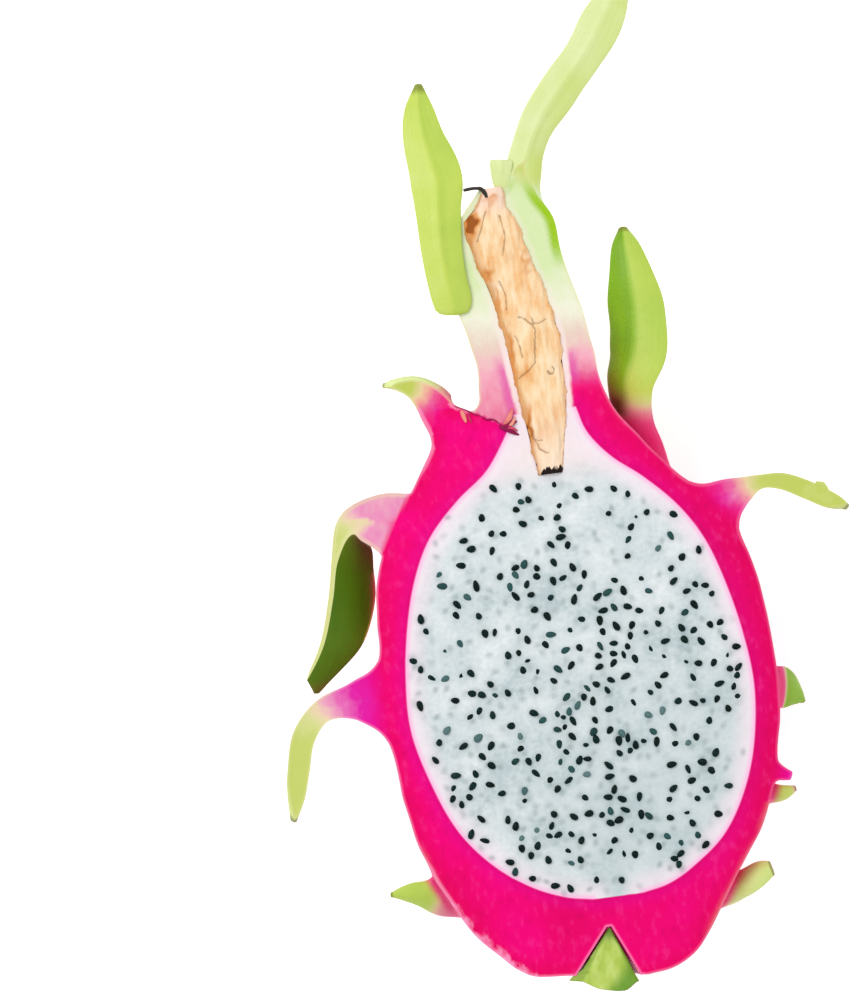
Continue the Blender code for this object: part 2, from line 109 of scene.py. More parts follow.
# Each bract. seat: share of the body's length and turn round it of its root on the skin; without one it
# starts from the neck's end. rows: x, y, z from that root, half width and half thickness. broad: its
# broad side at the root and at the tip. pink: the shares of its length where pink ends and green begins.
# start: how green the root is already. lime: 0 deep green, 1 yellow-green. cup: how hollow its inner face
# is. inner: painted shade, how much deeper green that hollow face is made. split: how much the two halves
# across differ in green; from 0.12 up it also brings painted shade where the root folds under.
# rose: how rosy its cut edge is. crisp: how little its joint is softened. plain: it has no colour of its
# own. loose: it lies over the cut as a piece of its own.
BACK = dict(pink=(0.34, 0.90), lime=0.6, cup=0.08, inner=0.2)  # the bracts on the back are much alike
BRACTS = {
    "left_arch": dict(
        seat=(0.833, 180),
        rows=[
            (6, -3.5, 0, 16, 9), (0, 0.5, 0, 15, 7.4), (-6, 2, 0, 14, 4.8), (-10.4, 1, 0, 13.5, 1.9),
            (-13.5, -5.5, 0, 13.5, 0.55), (-15.6, -14, 0, 12.8, 0.35), (-18.2, -24.5, -1, 9.5, 0.30),
            (-21.6, -34.2, -4, 0.8, 0.3),
        ],
        broad=((0.1, 0, -1), (0.85, 0, -0.7)),
        pink=(0.30, 0.53), start=0.42, lime=0.95, cup=0.10, inner=0.82, crisp=1,
    ),
    "left_hook": dict(
        seat=(0.532, 180),
        rows=[
            (7, -0.5, 0, 15, 14), (0.5, 0.5, 0, 14, 9.5), (-6.7, 1, 0, 13, 4.2), (-13.7, -0.4, 0, 12, 2.3),
            (-18.4, -5.5, 0, 10.5, 2.2), (-20.5, -12.5, 0, 8.5, 2.1), (-21.8, -18, -0.5, 5.5, 1.7),
            (-23.4, -23.5, -2, 0.8, 0.6),
        ],
        broad=((0, 0, -1), (-0.05, 0, -1)),
        pink=(0.16, 0.64), lime=0.86, cup=0.10, inner=0.3,
    ),
    "right_wing": dict(
        seat=(0.798, 0),
        rows=[
            (-5.5, -3, 0, 14, 9), (0.5, -0.5, 0, 13, 6.8), (6, 2.3, 0, 12, 3.2), (10.5, 3.8, 0, 11, 1.4),
            (15.5, 3.3, 0, 9.5, 1.6), (20.5, 0.8, 0, 7.5, 1.8), (25, -2, -0.5, 4.5, 1.6),
            (29.1, -4.3, -2, 0.8, 0.6),
        ],
        broad=((0, 0, -1), (0, -0.25, -0.97)),
        pink=(0.14, 0.50), lime=0.84, cup=0.05, inner=0.1, rose=0.7,
    ),
    "right_shoulder": dict(
        seat=(0.889, 32),
        rows=[
            (-2, -8, -1, 10, 5), (0.5, 0, 0, 9, 3.5), (-0.6, 9, 4, 6, 1.8), (-0.6, 17, 7, 6, 1.3),
            (2, 24.5, 8, 7, 1.2), (3.2, 33, 8, 6.6, 1.2), (3.1, 41, 8, 5, 1), (2.8, 48, 7, 3.3, 0.8),
            (2.9, 52.3, 5.5, 0.9, 0.5),
        ],
        broad=((-0.65, 0, -0.75), (-1, 0, -0.15)),
        pink=(0.20, 0.40), lime=0.72, cup=-0.12, inner=0.2, split=0.30,
    ),
    "left_curl": dict(
        seat=(0.952, 178),
        rows=[
            (8, -6, -2, 10, 6), (5, 3, -1.5, 9, 4.8), (2.6, 9.5, -1, 7.5, 3.8), (-0.8, 14, -0.8, 5.5, 2.5),
            (-4.6, 15.8, -1, 3, 1.3), (-8.2, 16.2, -2, 0.6, 0.4),
        ],
        broad=((0, 0, -1), (0, 0.2, -1)),
        pink=(0.30, 0.78), lime=0.90, cup=0.05, inner=0.1, rose=1,
    ),
    "left_base": dict(
        seat=(0.190, 170),
        rows=[
            (8, -2.5, -2, 8, 4.5), (1.5, -1.5, 0.5, 6.5, 3), (-4.5, 0, 3, 3.7, 1.6), (-8.6, 0.6, 4, 2, 1.1),
            (-12, 0.7, 4.5, 0.5, 0.4),
        ],
        broad=((0.1, -0.8, -0.6), (0, -1, -0.3)),
        pink=(0.20, 0.62), lime=0.8, cup=0.05, inner=0.1, rose=1,
    ),
    "right_base": dict(
        seat=(0.135, 18),
        rows=[
            (-7.5, 1, -2, 7, 4.5), (-0.5, -1.5, 1.5, 5.2, 3.2), (4.2, -0.5, 3.5, 3.7, 2.3),
            (8, 1.2, 4.5, 3, 1.9), (11, 2, 5, 1.6, 1.1),
        ],
        broad=((0.3, 0.8, -0.5), (0.3, 0.95, -0.2)),
        pink=(-0.30, 0.34), lime=0.98, cup=0.05, inner=0.1, rose=1,
    ),
    "right_spur": dict(
        seat=(0.325, 0),
        rows=[
            (-7, 4.5, 0, 8, 5.5), (-2, 1, 0, 6, 3.8), (1, -0.8, 0, 3.8, 2.2), (3.6, -1.9, 0, 1.2, 1),
        ],
        broad=((0, 0, -1), (0, 0, -1)),
        pink=(0.9, 1.3), lime=0.5,
    ),
    "right_spur_leaf": dict(
        seat=(0.290, 10),
        rows=[
            (-6.5, 1.5, -1, 6, 3.5), (-1, -0.5, 1, 4, 2.4), (3, -1.2, 2.5, 2.4, 1.3),
            (6.5, -0.6, 3, 0.6, 0.5),
        ],
        broad=((0.2, -0.8, -0.5), (0.2, -0.9, -0.3)),
        pink=(1.15, 0.80), lime=0.8,
    ),
    "right_waist": dict(
        seat=(0.460, 14),
        rows=[
            (-6, 0, 2, 8, 4), (-0.5, 0.2, 0, 6.6, 2.8), (3, -0.2, -2.5, 5.2, 1.7),
            (5.4, -1.2, -4.5, 4, 1.3), (7.4, -3, -6.5, 2, 1), (8.4, -4.3, -7.5, 0.6, 0.6),
        ],
        broad=((0, 1, 0), (0, 1, 0)),
        pink=(0.36, 0.50), lime=0.45, cup=0.05,
    ),
    "back_base_right": dict(
        BACK,
        seat=(0.185, 58),
        rows=[
            (-5, -8, 5, 13, 5), (0, 0, 0, 12, 3.4), (5.5, 9, -3.7, 9, 1.9), (11.4, 18, -5, 6.5, 1.3),
            (17, 26, -4, 0.8, 0.5),
        ],
        broad=((0.80, 0.1, -0.5), (0.75, -0.2, -0.6)),
    ),
    "back_base_left": dict(
        BACK,
        seat=(0.215, 124),
        rows=[
            (5, -8, 5, 13, 5), (0, 0, 0, 12, 3.4), (-5.8, 9, -2.2, 9, 1.9), (-11.7, 17, -1.8, 6, 1.3),
            (-17.4, 23, 0.5, 0.8, 0.5),
        ],
        broad=((-0.75, 0.1, -0.6), (-0.7, -0.2, -0.7)),
    ),
    "back_waist_right": dict(
        BACK,
        seat=(0.520, 46),
        rows=[
            (-4, -8, 4, 14, 5), (0, 0, 0, 13, 3.4), (3, 9, -0.5, 9.5, 1.9), (5, 18, -0.5, 6.5, 1.3),
            (6.5, 27, 1, 0.8, 0.5),
        ],
        broad=((0.68, 0, -0.73), (0.55, -0.2, -0.8)),
        lime=0.5,
    ),
    "back_waist_left": dict(
        BACK,
        seat=(0.410, 144),
        rows=[
            (5, -8, 4, 14, 5), (0, 0, 0, 13, 3.4), (-2.6, 8.5, -1, 9.5, 1.9), (-5.4, 17, -1.6, 6.5, 1.3),
            (-7.8, 25.5, -1.9, 0.8, 0.5),
        ],
        broad=((-0.5, 0, -0.85), (-0.5, -0.2, -0.8)),
        lime=0.5,
    ),
    "back_left": dict(
        BACK,
        seat=(0.640, 124),
        rows=[
            (3, -8, 5, 13, 5), (0, 0, 0, 12, 3.2), (-2, 9, 0.6, 9, 1.7), (-3.8, 18, 2.6, 6, 1.2),
            (-5, 27, 6.5, 0.8, 0.5),
        ],
        broad=((-0.75, 0.1, -0.6), (-0.7, -0.2, -0.6)),
    ),
    "back_right": dict(
        BACK,
        seat=(0.745, 62),
        rows=[
            (-2, -8, 5, 12, 5), (0, 0, 0, 11, 3.2), (0.8, 8, 2.4, 8.5, 1.7), (0.6, 16, 5.5, 6, 1.2),
            (-0.5, 24, 9.5, 0.8, 0.5),
        ],
        broad=((0.8, 0.1, -0.5), (0.8, -0.2, -0.5)),
    ),
    "back_shoulder": dict(
        BACK,
        seat=(0.850, 128),
        rows=[
            (2, -8, -1, 11, 4.5), (0, 0, 0, 10, 3), (1.4, 7, 2.6, 7.5, 1.6), (3.6, 14, 5, 5.5, 1.2),
            (4.5, 20.5, 4.6, 0.8, 0.5),
        ],
        broad=((-0.7, 0.1, -0.6), (-0.7, -0.1, -0.6)),
    ),
    "back_crown": dict(
        seat=(0.930, 84),
        rows=[
            (0, -8, -1, 10, 4.5), (0, 0, 0, 9, 3), (-0.5, 12, 3, 6.5, 1.7), (-2, 25, 5, 6.5, 1.3),
            (-4, 39, 5, 5, 1.1), (-5, 49, 3, 0.8, 0.5),
        ],
        broad=((1, 0, -0.1), (1, 0.1, 0)),
        pink=(0.30, 0.55), lime=0.6, cup=-0.10, inner=0.1,
    ),
    "right_wing_nick": dict(
        seat=(0.798, 0),
        rows=[
            (22.6, -1.6, 0, 4, 2.4), (23.2, 0.5, 0, 3, 1.6), (23.5, 1.9, -0.4, 1.2, 0.8),
        ],
        broad=((0, 0, -1), (0, 0, -1)),
        pink=(-1.0, -0.5), lime=0.7,
    ),
    "torn_shoulder": dict(
        rows=[
            (-15.1, -45.5, -3, 4.5, 8), (-12.9, -41.7, -3, 3.6, 7), (-11.6, -39.4, -3, 3.3, 6),
            (-10.7, -37.8, -3, 3.1, 5),
        ],
        broad=((0.86, -0.5, 0), (0.86, -0.5, 0)),
        pink=(1.0, 2.0), lime=0.5, crisp=1, plain=1,
    ),
    "neck_lip": dict(
        rows=[
            (3.4, 8, -1.4, 1.2, 0.6), (3.2, 10.8, -0.4, 1.9, 0.7), (3.3, 13.2, 0, 2.3, 0.7),
            (3.6, 15.2, 0.2, 2.5, 0.6), (3.7, 15.9, 0.2, 2.2, 0.5),
        ],
        broad=((1, 0, 0), (1, 0.1, 0)),
        pink=(-1.5, -0.3), lime=0.98, cup=-0.05, loose=True,
    ),
    "left_crown": dict(
        rows=[
            (-11.35, -16.5, 0.4, 1.8, 0.6), (-11.30, -16.1, 0.5, 3.1, 0.8), (-11.20, -15.2, 0.6, 3.9, 1),
            (-11.1, -12.8, 0.6, 4.4, 1.2), (-11.7, -8, 0.5, 4.4, 1.3), (-12, -1, 0.2, 4.5, 1.3),
            (-11.5, 6.5, -0.5, 5.1, 1.3), (-11, 13.5, -1.5, 5.9, 1.2), (-12.4, 22.5, -3, 4.7, 1.1),
            (-12.7, 29.5, -4.2, 3.3, 0.9), (-12.1, 35.5, -6, 0.8, 0.5),
        ],
        broad=((1, 0, -0.10), (1, 0, 0.1)),
        pink=(-0.8, -0.3), lime=0.74, cup=-0.12, split=0.08, loose=True,
    ),
    "right_crown": dict(
        rows=[
            (9.9, -12, -2.5, 3.2, 3), (9.1, -3, -2, 3.5, 2.8), (7.8, 5, -1.6, 4, 2.5),
            (8, 11, -1.6, 4.2, 2), (9.5, 17, -2, 3.8, 1.5), (13.2, 23.7, -2, 4.2, 1.3),
            (18.7, 30.2, -2.5, 4.4, 1.3), (24.7, 36.7, -3, 4.5, 1.2), (31.2, 45.7, -4, 4.4, 1.1),
            (38.2, 59.2, -8, 0.9, 0.5),
        ],
        broad=((1, 0, -0.3), (1, 0, -0.1)),
        pink=(-1.2, 0.5), lime=0.92, cup=-0.10, split=0.06,
    ),
}

# What each point of a bract carries for its colours
BRACT_LABELS = ("bloom", "lime", "across", "along", "crisp", "plain", "rose", "split")


# ---------------------------------------------------------------- curves, noise and meshes


def through(rows, shares):
    """A smooth (Catmull-Rom) curve through the rows, read at shares of the way from first to last."""
    rows = np.asarray(rows, float)
    spans = len(rows) - 1
    padded = np.vstack([2 * rows[0] - rows[1], rows, 2 * rows[-1] - rows[-2]])
    place = np.clip(np.asarray(shares, float) * spans, 0, spans)
    index = np.minimum(place.astype(int), spans - 1)
    t = (place - index)[:, None]
    before, start, end, after = (padded[index + k] for k in range(4))
    return 0.5 * (
        2 * start
        + (end - before) * t
        + (2 * before - 5 * start + 4 * end - after) * t**2
        + (3 * start - before - 3 * end + after) * t**3
    )


def fade(low, high, value):
    """0 up to low, 1 from high on, and a smooth step (3t^2 - 2t^3) between."""
    t = np.clip((value - low) / (high - low), 0, 1)
    return t * t * (3 - 2 * t)


def unit(vectors, least=0.0):
    """The vectors, each with length 1. least is added to the lengths where one may be 0."""
    return vectors / (np.linalg.norm(vectors, axis=1)[:, None] + least)


def on_plane(flat):
    """Flat (x, y) places as points on the cut plane."""
    return np.hstack([flat, np.zeros((len(flat), 1))])


def round_turn(count):
    """A full turn in count equal steps, in radians, without its end."""
    return np.linspace(0, 2 * math.pi, count, endpoint=False)


def frame_along(spine):
    """Unit vectors along a curve and level across it."""
    along = unit(np.gradient(spine, axis=0))
    return along, unit(np.cross((0, 0, 1), along))


def ripple(points, size, seed):
    """Smooth noise of about -1 to 1 at points: twelve sine waves, each about size mm long, that run in
    seeded random directions, added and divided by four."""
    rng = np.random.default_rng(seed)
    way = unit(rng.normal(size=(12, 3)))
    way *= (rng.uniform(0.7, 1.5, 12) * 2 * math.pi / size)[:, None]
    phase = rng.uniform(0, 2 * math.pi, 12)
    return np.sin(np.asarray(points) @ way.T + phase).sum(axis=1) / 4


def lofted(rings):
    """Points and triangles of a closed solid: each quad between two neighbouring rings is two triangles,
    and each end ring is closed by a fan onto its middle point. Turned so that its volume is positive."""
    rings = np.asarray(rings, float)
    count, around = rings.shape[:2]
    corner = np.arange(count * around).reshape(count, around)
    here, beside = corner, np.roll(corner, -1, axis=1)
    quads = [(here[:-1], beside[:-1], beside[1:]), (here[:-1], beside[1:], here[1:])]
    low, high = np.full(around, corner.size), np.full(around, corner.size + 1)
    fans = [(beside[0], here[0], low), (here[-1], beside[-1], high)]
    triangles = np.vstack([np.stack(t, axis=-1).reshape(-1, 3) for t in quads + fans])
    points = np.vstack([rings.reshape(-1, 3), rings[0].mean(axis=0), rings[-1].mean(axis=0)])
    a, b, c = (points[triangles[:, k]] for k in range(3))
    if np.einsum("ij,ij->", a, np.cross(b, c)) < 0:
        triangles = triangles[:, ::-1]
    return points, triangles


def linked(name, data):
    """A new object with that mesh, light or camera, in the scene."""
    made = bpy.data.objects.new(name, data)
    bpy.context.scene.collection.objects.link(made)
    return made


def mesh_of(name, points, triangles):
    """A smooth-shaded mesh."""
    mesh = bpy.data.meshes.new(name)
    mesh.from_pydata(points.tolist(), [], triangles.tolist())
    mesh.shade_smooth()
    return mesh


def arrays_of(mesh):
    """The mesh's points and triangles as arrays."""
    mesh.calc_loop_triangles()
    points = np.empty(len(mesh.vertices) * 3, np.float32)
    triangles = np.empty(len(mesh.loop_triangles) * 3, np.int32)
    mesh.vertices.foreach_get("co", points)
    mesh.loop_triangles.foreach_get("vertices", triangles)
    return points.reshape(-1, 3).astype(float), triangles.reshape(-1, 3)


def combined(base, others, operation):
    """The base solid with each other solid joined to it (UNION) or cut from it (DIFFERENCE), by the
    manifold Boolean solver. Solids are (points, triangles)."""
    target = linked("target", mesh_of("target", *base))
    made = [target]
    for solid in others:
        helper = linked("helper", mesh_of("helper", *solid))
        made.append(helper)
        modifier = target.modifiers.new("helper", "BOOLEAN")
        modifier.operation = operation
        modifier.solver = "MANIFOLD"
        modifier.object = helper
    result = target.evaluated_get(bpy.context.evaluated_depsgraph_get())
    points, triangles = arrays_of(result.to_mesh())
    for each in made:
        mesh = each.data
        bpy.data.objects.remove(each)
        bpy.data.meshes.remove(mesh)
    return points, triangles


def nearest(points, targets):
    """For each point, the index of the nearest target and its distance."""
    tree = kdtree.KDTree(len(targets))
    for index, target in enumerate(targets.tolist()):
        tree.insert(target, index)
    tree.balance()
    found = [tree.find(point)[1:] for point in points.tolist()]
    index, distance = np.array(found).T
    return index.astype(int), distance


def piece(name, points, triangles, materials, node, slot, values=None, cut=None):
    """A finished piece: the mesh in the frame, in metres, with one number per point for each name in
    values, and with the triangles marked in cut given the second material and sharp edges."""
    mesh = mesh_of(name, (points + (0, 0, CUT_HEIGHT)) * MM, triangles)
    for label, numbers in (values or {}).items():
        layer = mesh.attributes.new(label, "FLOAT", "POINT")
        layer.data.foreach_set("value", np.asarray(numbers, np.float32))
    for material in materials:
        mesh.materials.append(material)
    if cut is not None:
        mesh.polygons.foreach_set("material_index", cut.astype(np.int32))
        mark_border_sharp(mesh, triangles, cut)
    made = linked(name, mesh)
    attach(made, "root")
    if node:
        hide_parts(node)
    return made


def mark_border_sharp(mesh, triangles, cut):
    """Marks as sharp each edge that one cut and one uncut triangle share."""
    def keys(chosen):
        sides = chosen[:, [0, 1, 1, 2, 2, 0]].reshape(-1, 2)
        return sides.min(axis=1).astype(np.int64) * len(mesh.vertices) + sides.max(axis=1)

    border = np.intersect1d(keys(triangles[cut]), keys(triangles[~cut]))
    ends = np.empty(len(mesh.edges) * 2, np.int32)
    mesh.edges.foreach_get("vertices", ends)
    ends = ends.reshape(-1, 2)
    edge_keys = ends.min(axis=1).astype(np.int64) * len(mesh.vertices) + ends.max(axis=1)
    layer = mesh.attributes.new("sharp_edge", "BOOLEAN", "EDGE")
    layer.data.foreach_set("value", np.isin(edge_keys, border))


# ---------------------------------------------------------------- the solids


def flower_rows(grow=0.0):
    """(y, x, half width) of the dried flower's middle line, larger all round by grow."""
    low = SHOULDER - FLOWER_SEAT - grow
    length = FLOWER_LENGTH + 2 * grow
    return [
        (low + share * length, lean, width * FLOWER_WIDTH / 2 + grow)
        for share, lean, width in FLOWER_SHAPE
    ]


def flower_at(y):
    """(x, half width) of the dried flower at y, on its smooth curve."""
    rows = through(flower_rows(), np.linspace(0, 1, 200))
    return np.interp(y, rows[:, 0], rows[:, 1]), np.interp(y, rows[:, 0], rows[:, 2])


def body_rows():
    """(y, left, right, back) of the rind's outside, stem end to the end of the neck."""
    rows = [
        (STEM_END + s * BODY_LENGTH, -left * HALF_WIDTH, right * HALF_WIDTH, back * BODY_DEPTH)
        for s, left, right, back in BODY_SHAPE
    ]
    for share, left, right, back in NECK_SHAPE:
        y = SHOULDER + share * NECK_LENGTH
        x, half = flower_at(y)
        rows.append((y, x - half - left, x + half + right, half + back))
    return rows


def pulp_rows(grow=0.0):
    """(y, left, right, back) of the pulp, larger all round by grow."""
    low = STEM_END + RIND_BASE - grow
    length = SHOULDER + grow - low
    half_width, depth = HALF_WIDTH - RIND_WALL, BODY_DEPTH - RIND_WALL
    rows = [
        (low + s * length, -left * half_width - grow, right * half_width + grow, back * depth + grow)
        for s, left, right, back in PULP_SHAPE
    ]
    x, half = flower_at(SHOULDER)
    collar = half + PULP_COLLAR + grow
    rows.append((low + length, x - collar, x + collar, collar))
    return rows


def even_shares(rows, count):
    """Shares along a smooth curve through the rows that are equal steps of its length."""
    fine = np.linspace(0, 1, 2000)
    steps = np.linalg.norm(np.diff(through(rows, fine)[:, :2], axis=0), axis=1)
    gone = np.concatenate([[0], np.cumsum(steps)])
    return np.interp(np.linspace(0, gone[-1], count), gone, fine)


def half_rings(rows, count, below, above, room):
    """Rings along y through (y, left, right, back) rows: half an ellipse under the cut plane, in below
    points, and a flatter one over it, room mm high, in above points."""
    y, left, right, back = through(rows, even_shares(rows, count)).T[:, :, None]
    turn = np.concatenate([
        np.linspace(0, -math.pi, below, endpoint=False),
        np.linspace(math.pi, 0, above, endpoint=False),
    ])
    reach = np.where(np.sin(turn) > 0, np.minimum(back, room), back)
    middle, half = (left + right) / 2, (right - left) / 2
    points = [middle + half * np.cos(turn), y + 0 * turn, reach * np.sin(turn)]
    return np.stack(points, axis=-1)


def body_solid():
    """The rind's outside: the body and the neck, slightly uneven all over, with the left of its stem end
    set back by 2 mm."""
    rings = half_rings(body_rows(), 230, 130, 90, KNIFE_ROOM)
    flat = rings.reshape(-1, 3)
    outward = unit(flat * (1, 0, 1), 1e-9)
    uneven = 0.22 * ripple(flat, 26, 1) + 0.08 * ripple(flat, 9, 2)
    flat = flat + outward * uneven[:, None]
    flat[:, 1] += 2.0 * fade(-1, -11, flat[:, 0]) * fade(15, 0, flat[:, 1] - STEM_END)
    return lofted(flat.reshape(rings.shape))


def skin_point(share, turn):
    """The point on the body's skin at that share of its length and that turn, in degrees."""
    shape = np.array(BODY_SHAPE)
    left, right, back = (np.interp(share, shape[:, 0], shape[:, k]) for k in (1, 2, 3))
    middle, half = (right - left) / 2 * HALF_WIDTH, (right + left) / 2 * HALF_WIDTH
    angle = math.radians(turn)
    y = STEM_END + share * BODY_LENGTH
    return np.array([middle + half * math.cos(angle), y, -back * BODY_DEPTH * math.sin(angle)])


def bract_solid(name, shape, rings, around):
    """One bract: flat ovals along a smooth curve, turning from one broad side to the other. Each oval
    thins towards its edges, the inner face is hollowed by cup times the square of the way across, a
    rib runs down the outer face, and the edges waver. Also gives its numbers for colouring."""
    rows = shape["rows"]
    if "seat" in shape:
        start = skin_point(*shape["seat"])
    else:
        start = np.array([NECK_END_X, SHOULDER + NECK_LENGTH, 0.0])
    t = np.linspace(0, 1, rings)
    read = through(rows, t)
    spine = read[:, :3] + start
    along = unit(np.gradient(spine, axis=0))
    blend = fade(0, 1, t)[:, None]
    broad = (1 - blend) * shape["broad"][0] + blend * shape["broad"][1]
    broad = unit(broad - (broad * along).sum(axis=1)[:, None] * along)
    flat = np.cross(along, broad)
    angle = round_turn(around)
    side, face = np.cos(angle), np.sin(angle)
    half = np.maximum(read[:, 3], 0.4)[:, None]
    thick = np.maximum(read[:, 4], 0.3)[:, None]
    blade = fade(0.25, 0.5, t)[:, None]
    seed = sum(map(ord, name))
    places = np.stack(np.broadcast_arrays(spine[:, 1:2], 20 * np.sign(side)[None], 0 * half), axis=-1)
    waver = 1 + 0.035 * blade * ripple(places.reshape(-1, 3), 14, seed).reshape(rings, around)
    across = half * side * waver
    rib = 0.35 * np.exp(-((side / 0.16) ** 2)) * (face < 0)
    lift = thick * face * (1 - 0.45 * blade * side**2) - blade * thick * rib
    lift = lift + blade * shape.get("cup", 0) * half * side**2
    points = spine[:, None] + across[..., None] * broad[:, None] + lift[..., None] * flat[:, None]
    # painted shade: the hollow inner face is made a deeper green by inner
    lime = shape["lime"] - shape.get("inner", 0) * (face > 0) * blade
    lime = lime - shape.get("split", 0) * (fade(-0.12, 0.12, side) - 0.5)
    whole = np.ones((rings, around))
    first = shape.get("start", 0.0)
    bloom = first + (1 - first) * fade(*shape["pink"], t)[:, None]
    numbers = [bloom, lime, side, t[:, None]]
    numbers += [shape.get(label, 0.0) for label in BRACT_LABELS[4:]]
    numbers = np.stack([whole * each for each in numbers], axis=-1)
    ends = numbers[[0, -1]].mean(axis=1)
    return lofted(points), np.vstack([numbers.reshape(-1, len(numbers[0, 0])), ends])


def stem_rings(proud, grow=0.0, slack=0.0, around=48, count=30):
    """Rings of the three-ribbed stem stub, a point in the fruit widening to its cut end, or of its
    dimple: grow moves the surface out all over, and slack widens the mouth."""
    point = STEM_END + STEM_SEAT + 3 * grow
    turn = round_turn(around)
    ribbed = 1 + 0.07 * np.cos(3 * (turn + math.pi / 2))
    y = (point - np.linspace(0.02, 1, count) * (point - STEM_END + proud))[:, None]
    run = (point - y) / STEM_SEAT
    middle = STEM_POINT_X + run * (STEM_END_X - STEM_POINT_X)
    width = run * (STEM_WIDTH / 2 * ribbed + slack) + grow
    return np.stack([middle + width * np.cos(turn), y + 0 * turn, width * np.sin(turn)], axis=-1)


def flower_rings(grow=0.0, crown=1.1, around=72, count=170):
    """Rings along the dried flower: half a circle under the cut plane, and a low arch over it."""
    y, x, half = through(flower_rows(grow), np.linspace(0, 1, count)).T[:, :, None]
    turn = round_turn(around)
    height = np.where(np.sin(turn) < 0, half, np.minimum(half, crown))
    return np.stack([x + half * np.cos(turn), y + 0 * turn, height * np.sin(turn)], axis=-1)


def flower_groove():
    """The solid that cuts the dried flower's seat."""
    return lofted(flower_rings(-OVERLAP, crown=3.0, around=40, count=80))


# ---------------------------------------------------------------- the cut through the rind


def below_plane(points, triangles):
    """The part of a closed solid below z = 0, open at the top: points, triangles and the open border's
    edges."""
    shell = bmesh.new()
    shell.from_mesh(mesh_of("shell", points, triangles))
    everything = shell.verts[:] + shell.edges[:] + shell.faces[:]
    bmesh.ops.bisect_plane(
        shell, geom=everything, dist=1e-4, plane_co=(0, 0, 0), plane_no=(0, 0, 1), clear_outer=True
    )
    bmesh.ops.triangulate(shell, faces=shell.faces)
    shell.verts.ensure_lookup_table()
    border = [[v.index for v in e.verts] for e in shell.edges if len(e.link_faces) == 1]
    mesh = bpy.data.meshes.new("shell")
    shell.to_mesh(mesh)
    shell.free()
    return *arrays_of(mesh), np.array(border)


def inside(places, start, end):
    """Whether each place in the plane is inside the closed outline of segments start to end: a ray to
    the right crosses it an odd number of times."""
    crossings = np.zeros(len(places), int)
    for chunk in np.array_split(np.arange(len(places)), max(1, len(places) // 2000)):
        y = places[chunk, 1][:, None]
        spans = (start[:, 1] > y) != (end[:, 1] > y)
        share = (y - start[:, 1]) / np.where(start[:, 1] == end[:, 1], 1, end[:, 1] - start[:, 1])
        x = start[:, 0] + share * (end[:, 0] - start[:, 0])
        crossings[chunk] = (spans & (x > places[chunk, 0][:, None])).sum(axis=1)
    return crossings % 2 == 1


def paved(points, border, spacing, rows):
    """Fills the border, in the plane z = 0, with triangles: its own points, rows of points at the given
    distances inside it, and a hexagonal lattice with the given spacing. Gives the new points and the
    triangles, numbered after the solid's points."""
    ring = np.unique(border)
    flat = points[:, :2]
    start, end = flat[border[:, 0]], flat[border[:, 1]]
    middle = (start + end) / 2
    normal = unit((end - start)[:, ::-1] * (1, -1), 1e-9)
    normal *= np.where(inside(middle + 0.02 * normal, start, end), 1, -1)[:, None]
    low, high = flat[ring].min(axis=0), flat[ring].max(axis=0)
    across = np.arange(low[0], high[0], spacing)
    up = np.arange(low[1], high[1], spacing * math.sqrt(0.75))
    x, y = np.meshgrid(across, up)
    x = x + (np.arange(len(up)) % 2 * spacing / 2)[:, None]
    wanted = [(np.stack([x.ravel(), y.ravel()], axis=1), rows[-1] + 0.5 * spacing)]
    wanted += [((middle + normal * row), 0.9 * row) for row in rows]
    kept = []
    edge = on_plane(np.vstack([flat[ring], middle]))
    for places, room in wanted:
        places = places[inside(places, start, end)]
        distance = nearest(on_plane(places), edge)[1]
        kept.append(places[distance > room])
    new = np.vstack(kept)
    number = np.full(len(points), -1)
    number[ring] = np.arange(len(ring))
    plane = [Vector(p) for p in np.vstack([flat[ring], new]).tolist()]
    outline = [tuple(ends) for ends in number[border].tolist()]
    made, _, faces, origin, _, _ = geometry.delaunay_2d_cdt(plane, outline, [], 2, 1e-7)
    home = np.array([o[0] if o else -1 for o in origin])
    total = len(points)
    back = np.concatenate([ring, total + np.arange(len(new))])
    number_of = np.array([back[h] if h >= 0 else -1 for h in home])
    extra = [made[k] for k in np.flatnonzero(home < 0)]
    number_of[home < 0] = total + len(new) + np.arange(len(extra))
    new = np.vstack([new, np.array([e[:] for e in extra]).reshape(-1, 2)])
    triangles = number_of[np.array(faces)]
    everywhere = np.vstack([flat, new])
    a, b, c = (everywhere[triangles[:, k]] for k in range(3))
    turned = (b[:, 0] - a[:, 0]) * (c[:, 1] - a[:, 1]) - (b[:, 1] - a[:, 1]) * (c[:, 0] - a[:, 0]) < 0
    triangles[turned] = triangles[turned][:, ::-1]
    return on_plane(new), triangles


def softened(points, triangles, weight, rounds):
    """Moves each point halfway to the mean of its neighbours, times its weight, again and again."""
    sides = triangles[:, [0, 1, 1, 2, 2, 0]].reshape(-1, 2)
    count = np.bincount(sides[:, 0], minlength=len(points))
    for _ in range(rounds):
        mean = np.stack(
            [np.bincount(sides[:, 0], points[sides[:, 1], k], len(points)) for k in range(3)], axis=1
        ) / np.maximum(count, 1)[:, None]
        points = points + 0.5 * weight[:, None] * (mean - points)
    return points


def outline_of(rows):
    """The outline on the cut plane of a solid with (y, left, right, back) rows: points 0.1 mm apart or
    less, up its left side and down its right, with its two ends closed."""
    y, left, right, _ = through(rows, even_shares(rows, 2500)).T
    share = np.linspace(0, 1, 300)
    ends = [
        np.stack([left[k] + share * (right[k] - left[k]), y[k] + 0 * share], axis=1) for k in (-1, 0)
    ]
    sides = [np.stack([left, y], axis=1), np.stack([right, y], axis=1)]
    return on_plane(np.vstack([sides[0], ends[0], sides[1], ends[1]]))


